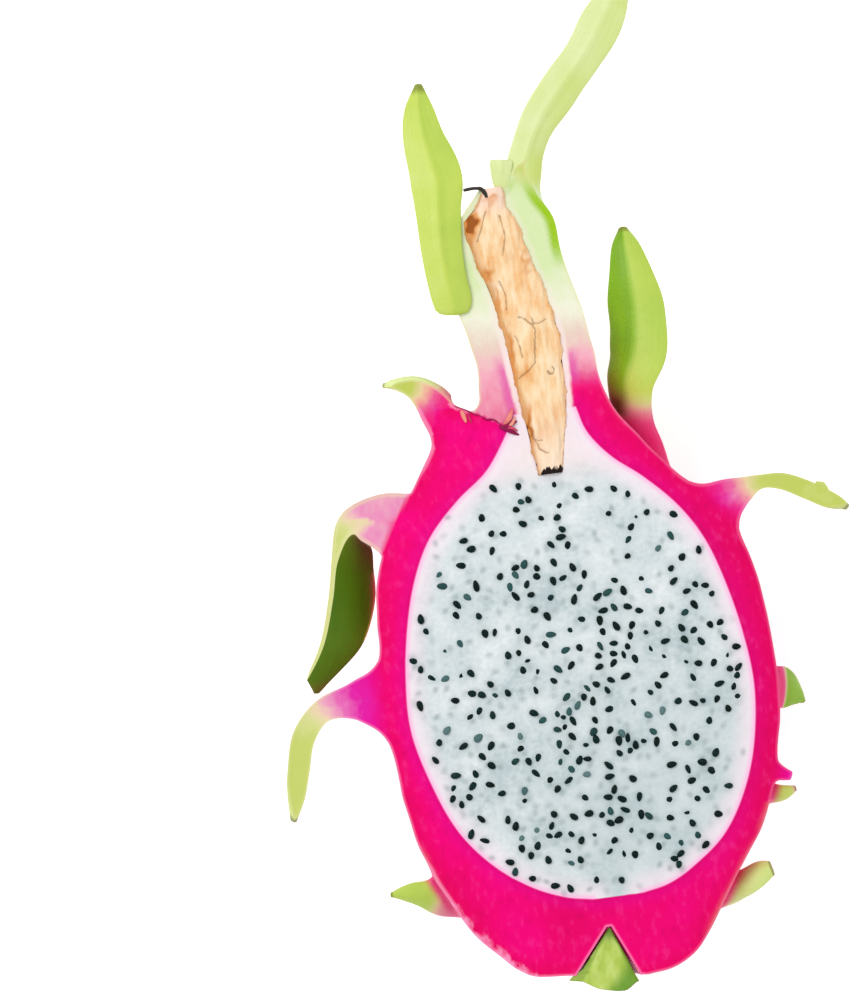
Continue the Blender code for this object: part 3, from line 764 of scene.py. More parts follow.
def flower_outline():
    """The dried flower's outline on the cut plane, as points 0.1 mm apart or less."""
    y, x, half = through(flower_rows(-OVERLAP), np.linspace(0, 1, 2500)).T
    share = np.linspace(-1, 1, 200)
    foot = np.stack([x[0] + half[0] * share, y[0] + 0 * share], axis=1)
    return on_plane(np.vstack([np.stack([x - half, y], axis=1), np.stack([x + half, y], axis=1), foot]))


JOINT_REACH = (1.2, 6.0)  # a bract's joint is fully softened up to the first distance, and not past the other
JOINT_ROUNDS = 40
FACE_SPACING = 0.8  # between the points of the rind's cut face
FACE_ROWS = (0.2, 0.5)  # the rows of points along its border, measured from it

# Where along the fruit the neck turns from pink, 0, to pale green, 1
NECK_TURN = [(66, 0), (69.5, 0.12), (72.5, 0.33), (75.5, 0.5), (80, 0.65), (86, 0.8), (98, 1)]


def torn_edge(x):
    """y of the torn edge left of the neck, where the body's flesh ends over the neck's."""
    return 66.0 - 0.58 * (x + 13.9)


def make_rind(materials):
    """The rind: body and bracts joined, the joints softened, then the hollow, the groove and the dimple
    cut out, and the whole cut flat at z = 0 with a paved cut face."""
    body = body_solid()
    solids, numbers = [], []
    for name, shape in BRACTS.items():
        if "loose" in shape:
            continue
        rings, around = (36, 24) if name.startswith("back") else (64, 36)
        solid, values = bract_solid(name, shape, rings, around)
        solids.append(solid)
        numbers.append(values)
    points, triangles = combined(body, solids, "UNION")

    leaves = np.vstack([solid[0] for solid in solids])
    numbers = np.vstack(numbers)
    index, to_leaf = nearest(points, leaves)
    from_joint = np.maximum(nearest(points, body[0])[1], to_leaf)
    crisp = numbers[index][:, 4]
    soft = (1 - fade(*JOINT_REACH, from_joint)) * (1 - 0.9 * crisp)
    points = softened(points, triangles, soft, JOINT_ROUNDS)

    hollow = lofted(half_rings(pulp_rows(-OVERLAP), 110, 60, 20, 2.0))
    dimple = lofted(stem_rings(STEM_PROUD + STEM_SEAT, 0.2, STEM_SLACK))
    points, triangles = combined((points, triangles), [hollow, flower_groove(), dimple], "DIFFERENCE")
    points, triangles, border = below_plane(points, triangles)
    face_points, face_triangles = paved(points, border, FACE_SPACING, FACE_ROWS)

    cut_from = len(points)
    points = np.vstack([points, face_points])
    points[:, 2] = np.maximum(points[:, 2], -CUT_HEIGHT)
    triangles = np.vstack([triangles, face_triangles])
    cut = np.arange(len(triangles)) >= len(triangles) - len(face_triangles)
    on_cut = np.arange(len(points)) >= cut_from
    on_cut[np.unique(border)] = True

    # how far each point is outside the body, and its bract's numbers
    x, y, flat = points[:, 0], points[:, 1], points * (1, 1, 0)
    to_body = nearest(points, body[0])[1]
    outline = outline_of(body_rows())
    rows = through(body_rows(), np.linspace(0, 1, 800))
    within = (x > np.interp(y, rows[:, 0], rows[:, 1])) & (x < np.interp(y, rows[:, 0], rows[:, 2]))
    past = nearest(flat, outline)[1] * np.where(within, -1, 1)
    index, to_leaf = nearest(points, leaves)
    bloom, lime, across, along, crisp, plain, rose, split = numbers[index].T
    on_leaf = np.where(on_cut, fade(-1.5 + 1.3 * crisp, 4.0 - 3.3 * crisp, past), fade(0.9, 3.0, to_body))
    on_leaf *= fade(9.0, 5.0, to_leaf) * (1 - plain)

    # the neck turns from pink to pale green, on the left of the cut from the torn edge on
    neck = np.interp(y + 0.8 * ripple(points, 9, 7), *np.transpose(NECK_TURN))
    left = on_cut & (x < -6) & (y < 76)
    neck = np.where(left, fade(-0.15, 0.15, y - torn_edge(x)) * np.interp(y, [60, 75], [0.36, 0.5]), neck)

    values = dict(bloom=bloom, lime=lime, across=across, along=along, on_leaf=on_leaf, neck=neck)
    near_leaf = fade(5.0, 2.0, to_leaf)
    values.update(crisp=crisp * near_leaf * on_leaf, rose=rose * near_leaf, split=split)
    edge = points[border]
    share = np.linspace(0, 1, 8, endpoint=False)[:, None, None]
    edge = (edge[None, :, 0] * (1 - share) + edge[None, :, 1] * share).reshape(-1, 3)
    seats = {"to_pulp": outline_of(pulp_rows(-OVERLAP)), "to_flower": flower_outline()}
    sides = dimple[0].reshape(-1, 3)
    seats["to_stem"] = edge[(nearest(edge, sides)[1] < 1.0) & (edge[:, 1] < STEM_END + 14)]
    for label, places in seats.items():
        values[label] = nearest(flat, places)[1]
    other = np.vstack(list(seats.values()))
    values["to_rim"] = nearest(flat, edge[nearest(edge, other)[1] > 0.25])[1]
    values["green_edge"] = fade(95, 102, y) * fade(118, 113, y) * fade(-5, -1, x)
    values["green_edge"] *= fade(2.6, 1.2, values["to_rim"]) * (1 - 0.8 * on_leaf)
    # the skin is scarred along the left of the stem end
    scarred = fade(-13, -19, x) * fade(-36, -42, y)
    values["scar"] = scarred * fade(2.6, 0.6, values["to_rim"] + 0.6 * ripple(points, 5, 8))
    grain = 0.05 * ripple(points, 1.6, 5) + 0.05 * ripple(points, 0.8, 6)
    inward = np.minimum(values["to_rim"], values["to_pulp"])
    points[cut_from:, 2] += (0.5 * grain - 0.10 * fade(0, 1.2, inward))[cut_from:]
    return piece("rind_with_bracts", points, triangles, materials, "rind", "rind_skin", values, cut)


def make_loose_bracts(material):
    """The bracts that lie over the cut, each a piece of its own."""
    for name, shape in BRACTS.items():
        if "loose" not in shape:
            continue
        (points, triangles), numbers = bract_solid(name, shape, 90, 48)
        values = dict(zip(BRACT_LABELS, numbers.T), on_leaf=np.ones(len(points)))
        piece(name + "_bract", points, triangles, [material], "rind", "rind_skin", values)


def shred_solid(path, half, lift, thick=0.22):
    """A thin shred lying on the cut: flat ovals, half wide at the middle and pointed at both ends, along
    a smooth curve through (x, y) points, arched up by lift."""
    t = np.linspace(0, 1, 26)
    spine = through([(x, y, 0.12) for x, y in path], t)
    spine[:, 2] += lift * np.sin(math.pi * t)
    across = frame_along(spine)[1]
    girth = (np.sin(math.pi * (0.06 + 0.88 * t)) ** 0.7)[:, None]
    angle = round_turn(12)
    wide, high = half * girth * np.cos(angle), thick * girth * np.sin(angle)
    return lofted(spine[:, None] + wide[..., None] * across[:, None] + high[..., None] * (0, 0, 1))


# Torn bits at the neck's left foot: path, half width, lift, and tone from dark red 0 to orange pink 1
SHREDS = [
    ([(-10.4, 63.3), (-8.4, 62.2), (-6.3, 60.9)], 0.50, 0.4, 0.05),
    ([(-10.2, 63.4), (-8.2, 63.3), (-6.3, 64.0)], 0.38, 0.5, 0.1),
    ([(-9.4, 63.5), (-8.0, 64.9), (-7.0, 66.9)], 0.55, 0.7, 0.72),
    ([(-8.8, 63.1), (-7.5, 63.6), (-6.6, 65.0)], 0.34, 0.8, 0.85),
    ([(-9.0, 62.9), (-7.6, 62.6), (-6.5, 61.8)], 0.30, 0.8, 0.45),
    ([(-19.6, 69.1), (-17.2, 67.9), (-15.6, 66.8), (-13.9, 66.1)], 0.15, 0.0, 0.15),
    ([(-14.2, 66.2), (-12.9, 65.2), (-11.4, 65.0), (-9.9, 63.6)], 0.15, 0.0, 0.05),
    ([(-18.3, 67.9), (-17.9, 66.8), (-17.5, 65.2)], 0.50, 0.0, 0.8),
    ([(-16.9, 67.3), (-16.6, 66.0), (-16.3, 64.9)], 0.25, 0.0, 0.4),
]


def joined(solids):
    """Several solids as one: points, triangles and the number of the solid each point is from."""
    starts = np.cumsum([0] + [len(points) for points, _ in solids[:-1]])
    points = np.vstack([points for points, _ in solids])
    triangles = np.vstack([triangles + start for (_, triangles), start in zip(solids, starts)])
    return points, triangles, np.repeat(np.arange(len(solids)), [len(points) for points, _ in solids])


def make_shreds(material):
    """The torn bits of rind at the neck's left foot."""
    points, triangles, number = joined([shred_solid(*shred[:3]) for shred in SHREDS])
    tone = np.array([shred[3] for shred in SHREDS])[number]
    return piece("torn_rind_shreds", points, triangles, [material], None, "rind_skin", dict(tone=tone))


# ---------------------------------------------------------------- pulp and seeds

SEED_LENGTH = 2.05
SEED_WIDTH = 1.42
SEED_COUNT = 318
SEED_GAP = 2.1
SEED_MARGIN = 1.7  # least distance from the pulp's border
SEED_TOP = SHOULDER - 14.5  # above this line the pulp has no seeds
SUNK_COUNT = 430  # seeds just under the surface, which only darken it
SUNK_GAP = 1.6
SUNK_MARGIN = 1.0

# Where seeds crowd together: x, y, radius and how many are tried there
SEED_CLUSTERS = [
    (8.6, -9.1, 2.4, 16), (-3.6, -1.0, 3.2, 12), (-1.6, -10.0, 4.0, 10), (-8.9, 31.8, 2.8, 9),
    (0.5, 39.0, 3.5, 9), (-7.2, 44.4, 2.6, 6), (1.5, -26.0, 6.5, 16), (12.0, -31.0, 6.0, 12),
    (32.6, 4.4, 2.5, 6), (24.6, -2.0, 3.2, 7), (26.5, -14.0, 4.0, 8), (-8.0, 12.0, 5.0, 8),
    (12.0, 14.0, 6.0, 8), (-14.0, -22.0, 6.0, 8), (3.0, 3.0, 6.0, 8),
]


def pulp_outline():
    """(y, left, right) of the pulp on the cut plane, finely spaced."""
    rows = pulp_rows()
    return through(rows, np.linspace(0, 1, 400))[:, :3]


def scattered(count, gap, seed, margin):
    """Seeded places for seeds: random tries inside the pulp's outline, at least margin from it, kept only
    if none kept before is nearer than gap. Then come the clusters, with half the gap."""
    rng = np.random.default_rng(seed)
    outline = pulp_outline()
    kept = []

    def try_at(x, y, room):
        left, right = np.interp(y, outline[:, 0], outline[:, 1]), np.interp(y, outline[:, 0], outline[:, 2])
        top = SEED_TOP - 0.29 * max(x + 1, 0)
        if not (left + margin < x < right - margin and outline[0, 0] + margin < y < top):
            return
        if all((x - a) ** 2 + (y - b) ** 2 > room * room for a, b in kept):
            kept.append((x, y))

    for x, y, radius, many in SEED_CLUSTERS:
        for _ in range(many):
            try_at(*(rng.normal(0, radius * 0.7, 2) + (x, y)), gap * 0.7)
    while len(kept) < count:
        y = rng.uniform(outline[0, 0], SEED_TOP)
        if rng.random() < 0.5 + 0.5 * fade(38, 5, y):
            try_at(rng.uniform(-40, 40), y, gap)
    return np.array(kept), rng


def pulp_surface(x, y):
    """Height of the pulp's cut surface: a low swell in the middle and two sizes of ripple."""
    places = np.stack([x, y, 0 * x], axis=1)
    swell = 0.35 * np.exp(-((x / 30) ** 2) - ((y - 4) / 42) ** 2)
    return swell + 0.07 * ripple(places, 7, 11) + 0.045 * ripple(places, 2.6, 12)


def make_pulp(material, seeds, turns, sunk, sunk_turns, sunk_depth):
    """The pulp: rings along y whose top is the cut surface, with the flower's groove cut out. Its numbers
    are the distance from its border, the shade of the seeds under the surface, and the damp round each
    seed in it."""
    rows = pulp_rows()
    y, left, right, back = through(rows, even_shares(rows, 230)).T[:, :, None]
    side = np.sin(np.linspace(-math.pi / 2, math.pi / 2, 190))
    turn = np.linspace(0, -math.pi, 44)[1:-1]
    middle, half = (left + right) / 2, (right - left) / 2
    top = np.stack([middle + half * side, y + 0 * side, 0 * y + 0 * side], axis=-1)
    under = np.stack([middle + half * np.cos(turn), y + 0 * turn, back * np.sin(turn)], axis=-1)
    rings = np.concatenate([top, under], axis=1)
    points, triangles = combined(lofted(rings), [flower_groove()], "DIFFERENCE")

    outline = pulp_outline()
    border = on_plane(np.concatenate([outline[:, [1, 0]], outline[:, [2, 0]]]))
    to_edge = nearest(points, border)[1]
    on_top = points[:, 2] > -1e-3
    height = pulp_surface(points[:, 0], points[:, 1]) * fade(0, 2.5, to_edge) - 0.03
    damp, shade = np.zeros(len(points)), np.zeros(len(points))
    for (x, y), turned in zip(seeds, turns):
        u, v = turned_axes(points, x, y, turned)
        damp += np.exp(-((u / 1.55) ** 2) - (v / 1.25) ** 2)
    for (x, y), turned, depth in zip(sunk, sunk_turns, sunk_depth):
        u, v = turned_axes(points, x, y, turned)
        size = 0.50 + 0.42 * depth
        shade += (1 - depth) * np.exp(-(((u / (1.3 * size)) ** 2 + (v / (0.95 * size)) ** 2) ** 1.5))
    height += 0.10 * np.minimum(damp, 1)
    points[:, 2] += np.where(on_top, height, 0)
    values = dict(to_edge=to_edge, damp=np.minimum(damp, 1), shade=np.minimum(shade, 1))
    return piece("white_pulp", points, triangles, [material], "pulp", "pulp_flesh", values)


def turned_axes(points, x, y, turned):
    """Each point's offsets from (x, y) along and across an axis turned by an angle."""
    dx, dy = points[:, 0] - x, points[:, 1] - y
    c, s = math.cos(turned), math.sin(turned)
    return dx * c + dy * s, dy * c - dx * s


def make_seeds(material, places, turns, rng):
    """The seeds, as one mesh: each an egg of five rings of seven points, flattened, laid down and pressed
    more or less deep into the pulp. tone says how far a film of pulp greys it."""
    u = -np.cos(math.pi * (np.arange(5) + 0.6) / 5.2)[:, None]
    angle = round_turn(7)
    girth = np.sqrt(1 - u**2) * (1 - 0.20 * u)
    egg = np.stack([u + 0 * angle, girth * np.cos(angle), girth * np.sin(angle)], axis=-1) / 2
    shape, triangles = lofted(egg)
    solids, tones = [], []
    ground = pulp_surface(places[:, 0], places[:, 1])
    for (x, y), turned, z in zip(places, turns, ground):
        length = SEED_LENGTH * rng.normal(0.97, 0.13)
        width = min(SEED_WIDTH * rng.normal(1.0, 0.09), 0.85 * length)
        thick = 0.62 * width
        buried = rng.uniform(-0.28, 0.10) if rng.random() < 0.72 else rng.uniform(0.10, 0.42)
        solid = shape * (length, width, thick)
        lean = Matrix.Rotation(turned, 3, "Z") @ Matrix.Rotation(rng.normal(0, 0.16), 3, "Y")
        solid = solid @ np.array(lean).T + (x, y, z + 0.1 - buried * thick)
        solids.append((solid, triangles))
        tones.append(rng.uniform(0, 0.25) if rng.random() < 0.80 else rng.uniform(0.25, 0.75))
    points, triangles, number = joined(solids)
    values = dict(tone=np.array(tones)[number])
    return piece("seeds", points, triangles, [material], None, "pulp_flesh", values)


# ---------------------------------------------------------------- dried flower and stem


# Cracks in the dried flower's cut surface, as (x, y) paths
CRACKS = [
    [(-0.2, 86.0), (0.1, 82.8), (-0.5, 79.5), (-0.7, 76.2), (-2.4, 74.6), (-4.7, 73.2)],
    [(1.7, 74.0), (2.1, 73.3), (2.8, 73.2), (3.2, 74.0), (2.8, 74.7)],
    [(-3.1, 86.5), (-1.8, 86.1), (-0.7, 84.8), (1.2, 84.6), (2.7, 85.3)],
    [(-4.4, 82.5), (-3.6, 80.2), (-3.4, 77.6)],
    [(-3.8, 61.3), (-3.2, 59.6), (-1.6, 58.9)],
    [(-3.4, 60.2), (-2.6, 58.4), (-2.0, 56.8), (-0.4, 56.2)],
    [(-9.8, 104.2), (-8.4, 107.4), (-7.2, 110.4)],
    [(-4.6, 100.6), (-3.6, 104.6), (-4.2, 109.2)],
    [(-6.2, 95.0), (-5.2, 91.6), (-5.4, 88.6)],
]

# Stains on it: x, y, radius across, radius along and strength
STAINS = [
    (-10.7, 108.4, 1.6, 3.2, 1.35), (-8.4, 96.9, 1.5, 2.6, 0.80), (-3.0, 99.5, 1.8, 3.4, 0.40),
    (-0.2, 98.0, 1.0, 5.5, 0.50), (-7.2, 90.0, 0.8, 5.0, 0.55), (-5.6, 78.0, 0.7, 9.0, 0.70),
    (-3.6, 62.5, 0.8, 5.0, 0.85), (-5.8, 113.0, 1.8, 1.6, 0.60),
]


def crack_distance(points):
    """Each point's distance, in the plane, from the nearest crack, which wavers by 0.1 mm."""
    points = points + 0.12 * ripple(points, 1.5, 25)[:, None]
    best = np.full(len(points), 1e3)
    for path in CRACKS:
        path = np.array(path)
        for start, end in zip(path[:-1], path[1:]):
            run = end - start
            share = np.clip((points[:, :2] - start) @ run / (run @ run), 0, 1)
            best = np.minimum(best, np.linalg.norm(points[:, :2] - start - share[:, None] * run, axis=1))
    return best


def make_flower(material):
    """The dried flower: its rings, with lengthwise wrinkles, dents and sunk cracks on the cut, and a
    ragged outline."""
    rings = flower_rings(around=140, count=390)
    flat = rings.reshape(-1, 3)
    x, half = flower_at(flat[:, 1])
    side = (flat[:, 0] - x) / half
    long = flat * (1.0, 0.22, 1.0)
    wrinkle = 0.13 * ripple(long, 2.2, 21) + 0.08 * ripple(long, 1.0, 22) + 0.14 * ripple(flat, 8, 23)
    crack = crack_distance(flat)
    rise = np.where(flat[:, 2] > 0, wrinkle - 0.25 * np.exp(-((crack / 0.25) ** 2)), 0)
    shift = (0.22 * ripple(flat, 5, 24) + 0.12 * ripple(flat, 1.6, 26)) * np.abs(side) ** 6
    flat = flat + np.stack([shift, 0 * x, rise], axis=1)
    points, triangles = lofted(flat.reshape(rings.shape))
    x, half = flower_at(points[:, 1])
    stain = np.zeros(len(points))
    rough = points + 0.5 * ripple(points, 3, 27)[:, None]
    for a, b, wide, tall, much in STAINS:
        spot = np.exp(-(((rough[:, 0] - a) / wide) ** 2) - ((rough[:, 1] - b) / tall) ** 2)
        stain = np.maximum(stain, much * spot)
    values = dict(
        across=np.clip((points[:, 0] - x) / half, -1, 1),
        along=(points[:, 1] - (SHOULDER - FLOWER_SEAT)) / FLOWER_LENGTH,
        stain=stain,
        crack=np.exp(-((crack_distance(points) / 0.21) ** 2)),
    )
    node, slot = "dried_flower", "dried_flower_tissue"
    return piece("dried_flower_tube", points, triangles, [material], node, slot, values)


def make_filament(material):
    """A withered stamen hooked over the dried flower's top: a tube, thicker at its root, along a smooth
    curve."""
    t = np.linspace(0, 1, 40)
    path = [
        (-6.4, 112.6, 0.3), (-6.7, 114.4, 0.9), (-7.6, 115.6, 1.1), (-9.4, 115.9, 1.0), (-11.3, 115.8, 0.6),
    ]
    spine = through(path, t)
    along, across = frame_along(spine)
    up = np.cross(along, across)
    radius = (0.52 - 0.18 * t + 0.06 * ripple(spine, 2, 28))[:, None]
    angle = round_turn(12)
    rings = spine[:, None] + (radius * np.cos(angle))[..., None] * across[:, None]
    rings = rings + (radius * np.sin(angle))[..., None] * up[:, None]
    return piece("withered_stamen", *lofted(rings), [material], None, "dried_flower_tissue")


def make_stem(material):
    """The stem stub: its rings, with the half above the cut plane pressed flat, fibres along it, and a
    slanting lower end that reaches furthest on the right."""
    rings = stem_rings(STEM_PROUD, around=96, count=70)
    flat = rings.reshape(-1, 3)
    over = flat[:, 2] > 0
    grain = 0.10 * ripple(flat * (1, 0.2, 1), 1.1, 31) + 0.15 * ripple(flat, 5, 32)
    flat[:, 2] = np.where(over, 0.05 * flat[:, 2] + grain - 0.25, flat[:, 2])
    run = (STEM_END + STEM_SEAT - flat[:, 1]) / (STEM_SEAT + STEM_PROUD)
    x = flat[:, 0]
    slant = 1.9 * fade(-9.5, 1.5, x) * (1 - 0.9 * fade(0.8, 4.5, x)) - 1.9 * fade(-4, -10, x)
    flat[:, 1] -= slant * fade(0.6, 1.0, run)
    flat[:, 0] -= 0.3 * run
    points, triangles = lofted(flat.reshape(rings.shape))
    run = (STEM_END + STEM_SEAT - points[:, 1]) / (STEM_SEAT + STEM_PROUD)
    middle = STEM_POINT_X + run * (STEM_END_X - STEM_POINT_X)
    side = (points[:, 0] - middle) / np.maximum(run * STEM_WIDTH / 2, 0.5)
    values = dict(across=side, along=run)
    return piece("stem_stub_flesh", points, triangles, [material], "stem_stub", "stem_green", values)


# ---------------------------------------------------------------- materials


def tint(code):
    """An sRGB hex colour as linear RGBA."""
    channels = [int(code[k:k + 2], 16) / 255 for k in (0, 2, 4)]
    linear = [c / 12.92 if c <= 0.04045 else ((c + 0.055) / 1.055) ** 2.4 for c in channels]
    return (*linear, 1.0)


def add(tree, kind, inputs=None, stops=None, out=0, **settings):
    """Adds a shader node and gives one of its outputs. settings are its own properties, stops are a ramp's
    (place, hex colour) pairs, and inputs gives each socket a value, a hex colour or another output."""
    made = tree.nodes.new("ShaderNode" + kind)
    for name, value in settings.items():
        setattr(made, name, value)
    if stops:
        ramp = made.color_ramp
        for _ in range(len(stops) - 2):
            ramp.elements.new(0.5)
        for element, (place, code) in zip(ramp.elements, stops):
            element.position = place
            element.color = tint(code)
    for socket, value in (inputs or {}).items():
        if isinstance(value, bpy.types.NodeSocket):
            tree.links.new(value, made.inputs[socket])
        else:
            made.inputs[socket].default_value = tint(value) if isinstance(value, str) else value
    return made.outputs[out]


FAC = 2  # an attribute node's output as a number
OBJECT = 3  # a coordinate node's output in the object's own metres
SMOOTH = dict(interpolation_type="SMOOTHSTEP")  # eases from socket 3, at 1, to socket 4, at 2
COLOURS = dict(data_type="RGBA", out=2)  # turns the colour in socket 6 into that in 7
TIMES = dict(operation="MULTIPLY")
TIMES_PLUS = dict(operation="MULTIPLY_ADD")  # socket 0 times 1, plus 2
MINUS = dict(operation="SUBTRACT")

NECK_STOPS = [
    (0.0, "E80A6E"), (0.18, "E2307E"), (0.34, "E0628E"), (0.52, "EAA8B8"),
    (0.68, "E0CABA"), (0.82, "E6E6D0"), (1.0, "CEDFA8"),
]


def new_material(name, *labels):
    """An empty material, its node tree, and the piece's own numbers under each label."""
    made = bpy.data.materials.new(name)
    made.use_nodes = True
    tree = made.node_tree
    return made, tree, [add(tree, "Attribute", out=FAC, attribute_name=label) for label in labels]


def glazed(tree, colour, glazes):
    """Lays glazes over a colour, one after the other. Each has a number, the two values it eases between,
    how strong the glaze is at the first and at the second, and the glaze's colour."""
    for number, low, high, first, last, code in glazes:
        share = add(tree, "MapRange", {0: number, 1: low, 2: high, 3: first, 4: last}, **SMOOTH)
        colour = add(tree, "Mix", {0: share, 6: colour, 7: code}, **COLOURS)
    return colour


def finished(made, colour, roughness, gloss, height=None, strength=0.0, distance=0.0):
    """The material with its colour, roughness, gloss and, where height is given, a relief, with its
    distance in metres."""
    tree = made.node_tree
    shader = tree.nodes["Principled BSDF"]
    tree.links.new(colour, shader.inputs["Base Color"])
    if height is not None:
        bump = add(tree, "Bump", {"Height": height, "Strength": strength, "Distance": distance})
        tree.links.new(bump, shader.inputs["Normal"])
    shader.inputs["Roughness"].default_value = roughness
    shader.inputs["Specular IOR Level"].default_value = gloss
    return made


def waxed_skin():
    """Waxy cactus-fruit skin: magenta with fine darker pores on the body, and on each bract magenta
    turning through cream to green, with fine veins along it, painted shade under a folded root, and a soft
    wax gloss."""
    labels = ("bloom", "lime", "across", "along", "on_leaf", "neck", "rose", "split")
    made, tree, numbers = new_material("waxed_cactus_fruit_skin", *labels)
    bloom, lime, across, along, on_leaf, neck, rose, split = numbers
    place = add(tree, "TexCoord", out=OBJECT)
    # clouds of tone about 12 mm across, and a grain of 2.4 mm
    cloud = add(tree, "TexNoise", {"Vector": place, "Scale": 80.0, "Detail": 4.0})
    fine = add(tree, "TexNoise", {"Vector": place, "Scale": 420.0, "Detail": 4.0})
    stops = [(0.25, "D00A58"), (0.5, "DE1C6C"), (0.75, "E8448A")]
    skin = add(tree, "ValToRGB", {0: cloud}, stops)
    # pores about 0.7 mm apart, drawn a little coarser than life so that they show
    pores = add(tree, "TexVoronoi", {"Vector": place, "Scale": 1300.0})
    speck = add(tree, "MapRange", {0: pores, 1: 0.05, 2: 0.45, 3: 0.55, 4: 0.0}, **SMOOTH)
    skin = add(tree, "Mix", {0: speck, 6: skin, 7: "B00A50"}, **COLOURS)
    neck_skin = add(tree, "ValToRGB", {0: neck}, NECK_STOPS)
    skin = glazed(tree, skin, [(neck, 0.02, 0.2, 0.0, 1.0, neck_skin)])

    # veins run along the bract, about 0.7 mm apart on a broad one
    laid = add(tree, "CombineXYZ", {"X": across, "Y": along})
    laid = add(tree, "Mapping", {"Vector": laid, "Scale": (11.0, 1.4, 1.0)})
    veins = add(tree, "TexNoise", {"Vector": laid, "Scale": 2.0, "Detail": 5.0})
    stage = bloom
    for number, share in ((rose, 0.24), (veins, 0.14), (cloud, 0.34)):
        stage = add(tree, "Math", {0: number, 1: share, 2: stage}, **TIMES_PLUS)
    stage = add(tree, "Math", {0: stage, 1: 0.24}, **MINUS)
    stops = [(0.0, "DE1C6C"), (0.25, "DC4A80"), (0.45, "DC8C92"), (0.62, "D8BA94"), (0.80, "CDCB86")]
    leaf = add(tree, "ValToRGB", {0: stage}, stops)
    tone = add(tree, "Math", {0: veins, 1: 0.12, 2: lime}, **TIMES_PLUS)
    tone = add(tree, "Math", {0: cloud, 1: 0.30, 2: tone}, **TIMES_PLUS)
    tone = add(tree, "Math", {0: tone, 1: 0.21}, **MINUS)
    stops = [
        (0.0, "3C6C04"), (0.25, "5C8A0C"), (0.45, "80AC14"),
        (0.62, "A6C34A"), (0.78, "BED058"), (1.0, "D6E2A6"),
    ]
    greens = add(tree, "ValToRGB", {0: tone}, stops)
    leaf = glazed(tree, leaf, [(stage, 0.48, 0.96, 0.0, 1.0, greens)])
    # painted shade: a two-toned bract is darkened to olive brown where its root folds under
    fold_shade = add(tree, "MapRange", {0: stage, 1: 0.15, 2: 0.45}, **SMOOTH)
    for number, low, high in ((stage, 1.02, 0.62), (across, -0.35, 0.5), (split, 0.12, 0.2)):
        share = add(tree, "MapRange", {0: number, 1: low, 2: high}, **SMOOTH)
        fold_shade = add(tree, "Math", {0: fold_shade, 1: share}, **TIMES)
    leaf = add(tree, "Mix", {0: fold_shade, 6: leaf, 7: "66481A"}, **COLOURS)
    # every bract has a dried tip
    leaf = glazed(tree, leaf, [(along, 0.950, 0.985, 0.0, 0.7, "6A6A1C")])
    colour = add(tree, "Mix", {0: on_leaf, 6: skin, 7: leaf}, **COLOURS)
    height = add(tree, "Math", {0: veins, 1: 0.6, 2: fine}, **TIMES_PLUS)
    height = add(tree, "Math", {0: speck, 1: -0.6, 2: height}, **TIMES_PLUS)
    return finished(made, colour, 0.40, 0.30, height, 0.35, 0.0003)


